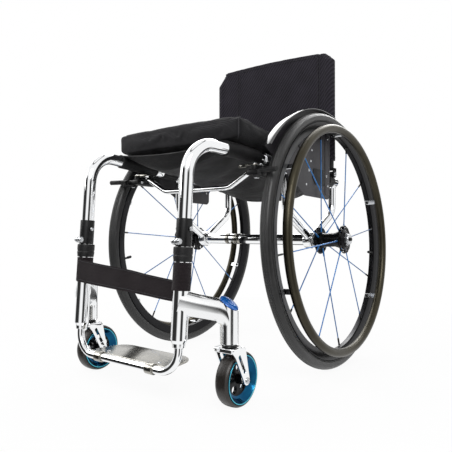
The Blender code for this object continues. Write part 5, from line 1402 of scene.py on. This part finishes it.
def strap():
    """Webbing: a loop round each lower leg, and a band from the right one's front down behind the left."""
    low = leg_point(STRAP_Z[0])
    tall = (leg_point(STRAP_Z[1]) - low).length
    shapes, area = [], 0.0
    for x in (0.0, -2 * LEG_X):
        bm = bmesh.new()
        bmesh.ops.create_cone(bm, segments=64, radius1=STRAP_MIDDLE, radius2=STRAP_MIDDLE, depth=tall)
        uprights = [edge for edge in bm.edges if abs(edge.verts[0].co.z - edge.verts[1].co.z) > tall / 2]
        bmesh.ops.subdivide_edges(bm, edges=uprights, cuts=10, use_grid_fill=True)
        for vert in bm.verts:
            vert.co.z += tall / 2
            vert.co.xy *= 1 + 0.012 * noise.noise((vert.co.x * 60, vert.co.y * 60, vert.co.z * 40))
            if x == 0.0 and vert.co.x > 0:
                # the left loop flares outwards at its foot
                vert.co.x *= 1 + 0.10 * (1 - vert.co.z / tall)
        area += area_of(bm)
        bmesh.ops.solidify(bm, geom=bm.faces[:], thickness=STRAP_THICKNESS)
        shapes.append(mesh_from(bm, Matrix.Translation((x, 0, 0)) @ towards(low, LEG_WAY)))
    bm = bmesh.new()
    bmesh.ops.create_grid(bm, x_segments=90, y_segments=12, size=0.5)
    for vert in bm.verts:
        vert.co = band_place(vert.co.x + 0.5, vert.co.y + 0.5)
    area += area_of(bm)
    bmesh.ops.solidify(bm, geom=bm.faces[:], thickness=STRAP_THICKNESS * 0.9)
    shapes.append(mesh_from(bm))
    band = piece("calf_webbing", shapes, WEBBING, "frame", ["calf_strap"], 60)
    in_front = Vector((0, -STRAP_THICKNESS * 0.55, 0))
    seams = []
    for rise in (0.07, 0.93):
        line = [band_place(0.01 + 0.95 * i / 59, rise) + in_front for i in range(60)]
        seams.append(tube(line, 0.0005, 2))
    stitches = piece("calf_stitching", seams, THREAD, "frame")


def inflate(obj, frames, pressure, most):
    """Swells a closed cloth with air, then pulls back any point that went further than most."""
    before = [vert.co.copy() for vert in obj.data.vertices]
    swell = obj.modifiers.new("air", "CLOTH")
    settings = swell.settings
    settings.quality = 5
    settings.mass = 0.3
    settings.tension_stiffness = 15
    settings.compression_stiffness = 15
    settings.shear_stiffness = 5
    settings.bending_stiffness = 0.5
    settings.use_pressure = True
    settings.uniform_pressure_force = pressure
    settings.effector_weights.gravity = 0.0
    swell.collision_settings.use_collision = False
    swell.point_cache.frame_start = 1
    swell.point_cache.frame_end = frames
    for number in range(1, frames + 1):
        bpy.context.scene.frame_set(number)
    graph = bpy.context.evaluated_depsgraph_get()
    after = [vert.co.copy() for vert in obj.evaluated_get(graph).data.vertices]
    obj.modifiers.remove(swell)
    bpy.context.scene.frame_set(1)
    for vert, old, new in zip(obj.data.vertices, before, after):
        move = new - old
        vert.co = old + (move * (most / move.length) if move.length > most else move)


def swollen(name, start, air, settle):
    """A padded piece: an even mesh over its closed start, swollen by air, then made finer and settled point
    by point. It ends in the row frame."""
    obj = shown("cells", start)
    cells = obj.modifiers.new("cells", "REMESH")
    cells.mode = "VOXEL"
    cells.voxel_size = PAD_CELL
    bm = evaluated(obj)
    ways = {"use_axis_x": True, "use_axis_y": True, "use_axis_z": True}
    for _ in range(4):
        bmesh.ops.smooth_vert(bm, verts=bm.verts, factor=0.5, **ways)
    mesh = mesh_from(bm)
    obj = shown(name, mesh)
    inflate(obj, *air)
    bm = bmesh.new()
    bm.from_mesh(mesh)
    bmesh.ops.subdivide_edges(bm, edges=bm.edges, cuts=1, use_grid_fill=True, smooth=0.6)
    for vert in bm.verts:
        settle(vert)
    bm.to_mesh(mesh)
    bm.free()
    mesh.transform(Matrix.Translation(AXLE_SHIFT))
    mesh.shade_smooth()
    return obj


def cushion_level(y):
    """The cushion's underside and its height at y."""
    share = (y - CUSHION_Y[0]) / (CUSHION_Y[1] - CUSHION_Y[0])
    return 0.4912 - RAIL_DROP * (y - CUSHION_Y[0]), 0.0522 - 0.0197 * share


def cushion_start():
    """A pad with the cushion's outline, a little small in length and height, ready to swell."""
    bm = bmesh.new()
    bmesh.ops.create_cube(bm, size=2.0)
    bmesh.ops.subdivide_edges(bm, edges=bm.edges, cuts=9, use_grid_fill=True)
    tight = 0.0006
    middle, half = sum(CUSHION_Y) / 2, (CUSHION_Y[1] - CUSHION_Y[0]) / 2 - tight
    for vert in bm.verts:
        u, v, w = vert.co
        y = middle + half * v
        low, height = cushion_level(y)
        low, height = low + tight, height - 2 * tight
        sag = 0.006 * max(0.0, 1 - (u / 0.85) ** 2) * (1 - v**4)
        crown = 0.0062 * (1 - u * u) * (1 - (1.0 if v > 0 else 0.5) * v**4)
        # rounded ends: the section narrows towards the sides and the front
        end = max(0.0, (abs(u) - 0.86) / 0.14)
        front = max(0.0, (-v - 0.90) / 0.10)
        w *= 1 - 0.15 * end * end - 0.10 * front * front
        z = low + height * (w + 1) / 2 + (crown * w if w > 0 else sag * w)
        vert.co = (u * (CUSHION_HALF + 0.0012), y, z)
    return mesh_from(bm)


def settle_cushion(vert):
    """Draws in the sewn edges, ripples the cover and keeps the underside's edges flat."""
    x, y, z = vert.co
    low, height = cushion_level(y)
    share = (z - low) / height
    side = max(0.0, (abs(x) - CUSHION_SIDE_X) / 0.019)
    # the sewn edge between the top and each side pulls in, and so do the front's two corners
    seam = max(0.0, 1 - abs(share - CUSHION_SEAM) / 0.08) * side
    corner = max(0.0, 1 - abs(y - CUSHION_Y[0] - 0.004) / 0.007) * side * 0.9
    vert.co.x -= (1 if x > 0 else -1) * 0.0016 * max(seam, corner)
    ripple = noise.noise((x * 34, y * 30, z * 50)) * 0.0012 + noise.noise((x * 11, y * 12, z * 20)) * 0.0018
    vert.co += vert.normal * ripple
    if share < 0.10 and abs(x) > 0.13:
        vert.co.z = max(vert.co.z, low + 0.0003)


def seat_cushion():
    """Knit on the top and both ends, packcloth on the sides and underneath."""
    obj = swollen("cushion_cover", cushion_start(), CUSHION_AIR, settle_cushion)
    for name in ("spacer_knit_black", "packcloth_woven_black"):
        obj.data.materials.append(bpy.data.materials[name])
    for face in obj.data.polygons:
        on_side = abs(face.normal.x) > 0.62 and abs(face.center.x) > CUSHION_SIDE_X
        under = face.normal.z < -0.6
        face.material_index = 1 if on_side or under else 0
    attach(obj, "frame")
    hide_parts("seat_cushion")
    cushion_piping(obj)


def cord_on(obj, starts, way, lift, radius, resolution):
    """A cord through the places where lines from the starts meet the piece, lifted a little off it."""
    places = []
    for start in starts:
        hit, place, normal, _ = obj.ray_cast(Vector(start) + AXLE_SHIFT, Vector(way).normalized())
        if hit:
            places.append(place + normal * lift - AXLE_SHIFT)
    return tube(places, radius, resolution)


def cushion_piping(obj):
    """Corded seams: along both top side edges and down the front corners."""
    bpy.context.view_layer.update()
    front, rear = CUSHION_Y[0] + 0.004, CUSHION_Y[1] - 0.004
    cords = []
    for side in (-1, 1):
        starts = []
        for i in range(60):
            y = front + (rear - front) * i / 59
            low, height = cushion_level(y)
            starts.append((side * 0.25, y, low + height * CUSHION_SEAM + 0.05))
        cords.append(cord_on(obj, starts, (-side, 0, -0.62), 0.0002, 0.0013, 4))
        low, height = cushion_level(CUSHION_Y[0])
        heights = [low + height * (0.08 + 0.80 * i / 13) for i in range(14)]
        starts = [(side * 0.25, CUSHION_Y[0] - 0.07, z) for z in heights]
        cords.append(cord_on(obj, starts, (-side, 0.93, 0), 0.0001, 0.0009, 3))
    piece("cushion_piping", cords, THREAD, "frame")


def back_top(x):
    """The back's top edge, crowned and a little higher on the right-hand side."""
    return BACK_TOP_Z + 0.0025 - 0.022 * x + 0.0055 * (1 - (x / BACK_HALF[1]) ** 2)


def corner_share(z, side):
    """How far up its cut corner the back has come at z; the left corner is cut higher."""
    corner = BACK_CORNER_Z[side]
    return min(1.0, max(0.0, (z - corner) / (BACK_TOP_Z - corner)))


def back_half(z, side=-1):
    """Half the back's width at z: its two top corners are cut off."""
    return BACK_HALF[0] + (BACK_HALF[1] - BACK_HALF[0]) * corner_share(z, side)


def back_path(z, u):
    """The cover's middle at z, for u from -1 to 1: across the front, then round each cane to its inside."""
    side = 1 if u > 0 else -1
    radius = BACK_WRAP_RADIUS - 0.0062 * corner_share(z, side)
    centre = back_half(z, side) - radius
    reach = abs(u) / BACK_FRONT_SHARE
    if reach < 1:
        # the front ends where the turn round the cane starts
        x = (centre - radius * 0.574) * reach
        return Vector((side * x, 0.0826 + 0.0040 * (1 - reach**2), z))
    turn = radians(-125 + BACK_WRAP * (abs(u) - BACK_FRONT_SHARE) / (1 - BACK_FRONT_SHARE))
    return Vector((side * (centre + radius * cos(turn)), POST_Y + radius * sin(turn), z))


def cover_top(u):
    """The height of the cover's top edge, for u as in back_path."""
    return back_top(0.16 * max(-1.0, min(1.0, u / BACK_FRONT_SHARE)))


def seam_thread(x):
    """A line of stitches up the cover's front."""
    places = []
    for i in range(50):
        z = BACK_BOTTOM_Z + 0.003 + 0.272 * i / 49
        spot = back_path(z, BACK_FRONT_SHARE * x / (back_half(z) - 0.0236))
        places.append((x, spot.y - 0.0010, z))
    return tube(places, 0.0004, 2)


def hem_thread(at_top):
    """A line of stitches along the cover's top or bottom edge and on round the canes."""
    places = []
    for i in range(100):
        share = 2 * i / 99 - 1
        u = 0.86 * share
        spot = back_path(cover_top(u) - 0.0085 if at_top else BACK_BOTTOM_Z + 0.0075, u)
        out = Vector((spot.x, spot.y - POST_Y, 0)) if abs(share) >= 0.82 else Vector((0, -1, 0))
        places.append(spot + out.normalized() * 0.0009)
    return tube(places, 0.0004, 2)


def back_cover():
    """One cloth over the panel's front and round both canes, with a sunk seam inside each."""
    bottom = BACK_BOTTOM_Z + 0.001
    bm = bmesh.new()
    bmesh.ops.create_grid(bm, x_segments=240, y_segments=90, size=1.0)
    for vert in bm.verts:
        u = vert.co.x
        place = back_path(bottom + (cover_top(u) - bottom) * (vert.co.y + 1) / 2, u)
        if abs(u) < BACK_FRONT_SHARE + 0.02:
            x, z = place.x, place.z
            crease = noise.noise((x * 26 + z * 10, 1.0, z * 20 - x * 12)) * 0.0007
            pull = max(0.0, (z - 0.735) / 0.04) * noise.noise((x * 60, 3.0, z * 16)) * 0.0010
            groove = max(deep * max(0.0, 1 - abs(x - seam) / 0.0032) for seam, deep in BACK_GROOVES)
            place.y += crease + pull + groove
        vert.co = place
    bmesh.ops.recalc_face_normals(bm, faces=bm.faces)
    area = area_of(bm)
    bmesh.ops.solidify(bm, geom=bm.faces[:], thickness=0.0014)
    cover = piece("back_cover", [mesh_from(bm)], TWILL, "back", ["back_upholstery"], 60)
    threads = [seam_thread(seam + aside) for seam in BACK_SEAMS for aside in (-0.0030, 0.0030)]
    threads += [hem_thread(False), hem_thread(True)]
    stitches = piece("back_stitching", threads, THREAD, "back")


def back_panel_start():
    bm = bmesh.new()
    bmesh.ops.create_cube(bm, size=2.0)
    bmesh.ops.subdivide_edges(bm, edges=bm.edges, cuts=11, use_grid_fill=True)
    bottom = BACK_BOTTOM_Z + 0.003
    for vert in bm.verts:
        u, v, w = vert.co
        z = bottom + (back_top(u * 0.15) - 0.0035 - bottom) * (w + 1) / 2
        half = min(0.1510, back_half(z) - 0.0170)
        dish = 0.0040 * (1 - u * u)
        vert.co = (u * half, 0.0968 + dish + v * 0.0106, z)
    return mesh_from(bm)


def settle_back_panel(vert):
    x, y, z = vert.co
    vert.co += vert.normal * noise.noise((x * 26 + z * 10, y * 10, z * 20 - x * 12)) * 0.0008
    # the cover holds the panel's front back
    vert.co.y = max(vert.co.y, 0.0840 + 0.0040 * (1 - (x / 0.16) ** 2))


def back_panel():
    """The padded panel between the canes, swollen against its cover."""
    obj = swollen("back_panel", back_panel_start(), BACK_AIR, settle_back_panel)
    obj.data.materials.append(bpy.data.materials["twill_woven_black"])
    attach(obj, "back")


# Studio


def studio_floor():
    """A pale disc that keeps the chair's shadow, faint in front of the camera as in a white studio. Polished
    metal looks past it, to the studio's dark flags and white walls."""
    bm = bmesh.new()
    bmesh.ops.create_circle(bm, cap_ends=True, segments=128, radius=1.1)
    floor = shown("studio_floor", mesh_from(bm))
    tree, shader = new_finish("floor_painted_white", "F2F2F2", 0.9, Specular_IOR_Level=0.0)
    paper = add(tree, "Emission", {"Color": (1, 1, 1, 1), "Strength": 1.0})[0]
    path = add(tree, "LightPath")
    share = add(tree, "Math", (path["Is Camera Ray"], 0.93), operation="MULTIPLY")[0]
    seen = add(tree, "MixShader", (share, shader.outputs["BSDF"], paper))[0]
    through = add(tree, "BsdfTransparent")[0]
    past = add(tree, "Math", (path["Is Glossy Ray"], path["Is Transmission Ray"]), operation="MAXIMUM")[0]
    mixed = add(tree, "MixShader", (past, seen, through))[0]
    tree.links.new(mixed, tree.nodes["Material Output"].inputs["Surface"])
    floor.data.materials.append(bpy.data.materials["floor_painted_white"])


def zone(tree, value, low, high, soft):
    """1 between low and high and 0 outside them, with soft edges."""
    edges = []
    for edge in (low, high):
        limits = {"Value": value, "From Min": edge - soft, "From Max": edge + soft}
        edges.append(add(tree, "MapRange", limits, interpolation_type="SMOOTHSTEP")[0])
    return add(tree, "Math", edges, operation="SUBTRACT")[0]


def studio_world():
    """White all round, with the dark flags that polished tube mirrors as bands. Their places are bearings
    from the way towards the camera, to its right, and heights above the horizon, all in degrees."""
    world = bpy.data.worlds.new("white_studio")
    bpy.context.scene.world = world
    world.use_nodes = True
    tree = world.node_tree
    for node in list(tree.nodes):
        tree.nodes.remove(node)
    way = add(tree, "TexCoord")["Generated"]
    to_camera, right = (sin(CAMERA_YAW), -cos(CAMERA_YAW), 0.0), (cos(CAMERA_YAW), sin(CAMERA_YAW), 0.0)
    toward = add(tree, "VectorMath", (way, to_camera), operation="DOT_PRODUCT")["Value"]
    aside = add(tree, "VectorMath", (way, right), operation="DOT_PRODUCT")["Value"]
    bearing = add(tree, "Math", (aside, toward), operation="ARCTAN2")[0]
    bearing = add(tree, "Math", (bearing,), operation="DEGREES")[0]
    height = add(tree, "Math", (add(tree, "SeparateXYZ", (way,))[2],), operation="ARCSINE")[0]
    height = add(tree, "Math", (height,), operation="DEGREES")[0]
    dark = zone(tree, height, *DARK_RING)
    for across_it, up_it in FLAGS:
        edges = (zone(tree, bearing, *across_it), zone(tree, height, *up_it))
        flag = add(tree, "Math", edges, operation="MULTIPLY")[0]
        dark = add(tree, "Math", (dark, flag), operation="MAXIMUM")[0]
    level = add(tree, "MapRange", {"Value": dark, "To Min": 1.0, "To Max": 0.03})[0]
    # the rear softbox, which whitens the fender and the tyres' shoulders
    behind = {"Value": toward, "From Min": -0.25, "From Max": -0.55}
    far = add(tree, "MapRange", behind, interpolation_type="SMOOTHSTEP")[0]
    softbox = add(tree, "Math", (far, zone(tree, height, *REAR_SOFTBOX)), operation="MULTIPLY")[0]
    level = add(tree, "Math", (softbox, 3.5, level), operation="MULTIPLY_ADD")[0]
    path = add(tree, "LightPath")
    glossy = add(tree, "Mix", {0: path["Is Glossy Ray"], 2: 0.62, 3: level}, data_type="FLOAT")[0]
    seen = add(tree, "Mix", {0: path["Is Camera Ray"], 2: glossy, 3: 1.0}, data_type="FLOAT")[0]
    sky = add(tree, "Background", {"Color": (1, 1, 1, 1), "Strength": seen})[0]
    output = tree.nodes.new("ShaderNodeOutputWorld")
    tree.links.new(sky, output.inputs["Surface"])


def studio_lamps():
    for name, place, size, power in LAMPS:
        lamp = bpy.data.lights.new(name, "AREA")
        lamp.shape = "RECTANGLE"
        lamp.size, lamp.size_y = size
        lamp.energy = power
        obj = shown(name, lamp)
        obj.location = place
        obj.rotation_euler = (Vector(place) - Vector(LAMP_AIM)).to_track_quat("Z", "Y").to_euler()


def studio_camera():
    """The photograph's viewpoint, found from the ellipses of the wheels."""
    camera = bpy.data.cameras.new("photo_camera")
    camera.lens = CAMERA_LENS
    camera.sensor_width = 36.0
    obj = shown("photo_camera", camera)
    level = cos(CAMERA_PITCH)
    back = Vector((sin(CAMERA_YAW) * level, -cos(CAMERA_YAW) * level, sin(CAMERA_PITCH)))
    obj.location = CAMERA_PLACE
    obj.rotation_euler = back.to_track_quat("Z", "Y").to_euler()
    bpy.context.scene.camera = obj


# The chair, then the studio round it

make_finishes()
frame_tubes()
rail_ends()
camber_bar()
leg_sleeves()
lower_legs()
footrest()
castors()
rear_wheels()
brake_bow()
brake_clamps()
brake_handles()
brake_press_bars()
side_guards()
back_frame()
seat_sling()
strap()
seat_cushion()
back_panel()
back_cover()
studio_floor()
studio_world()
studio_lamps()
studio_camera()
bpy.context.scene.view_settings.view_transform = "Standard"
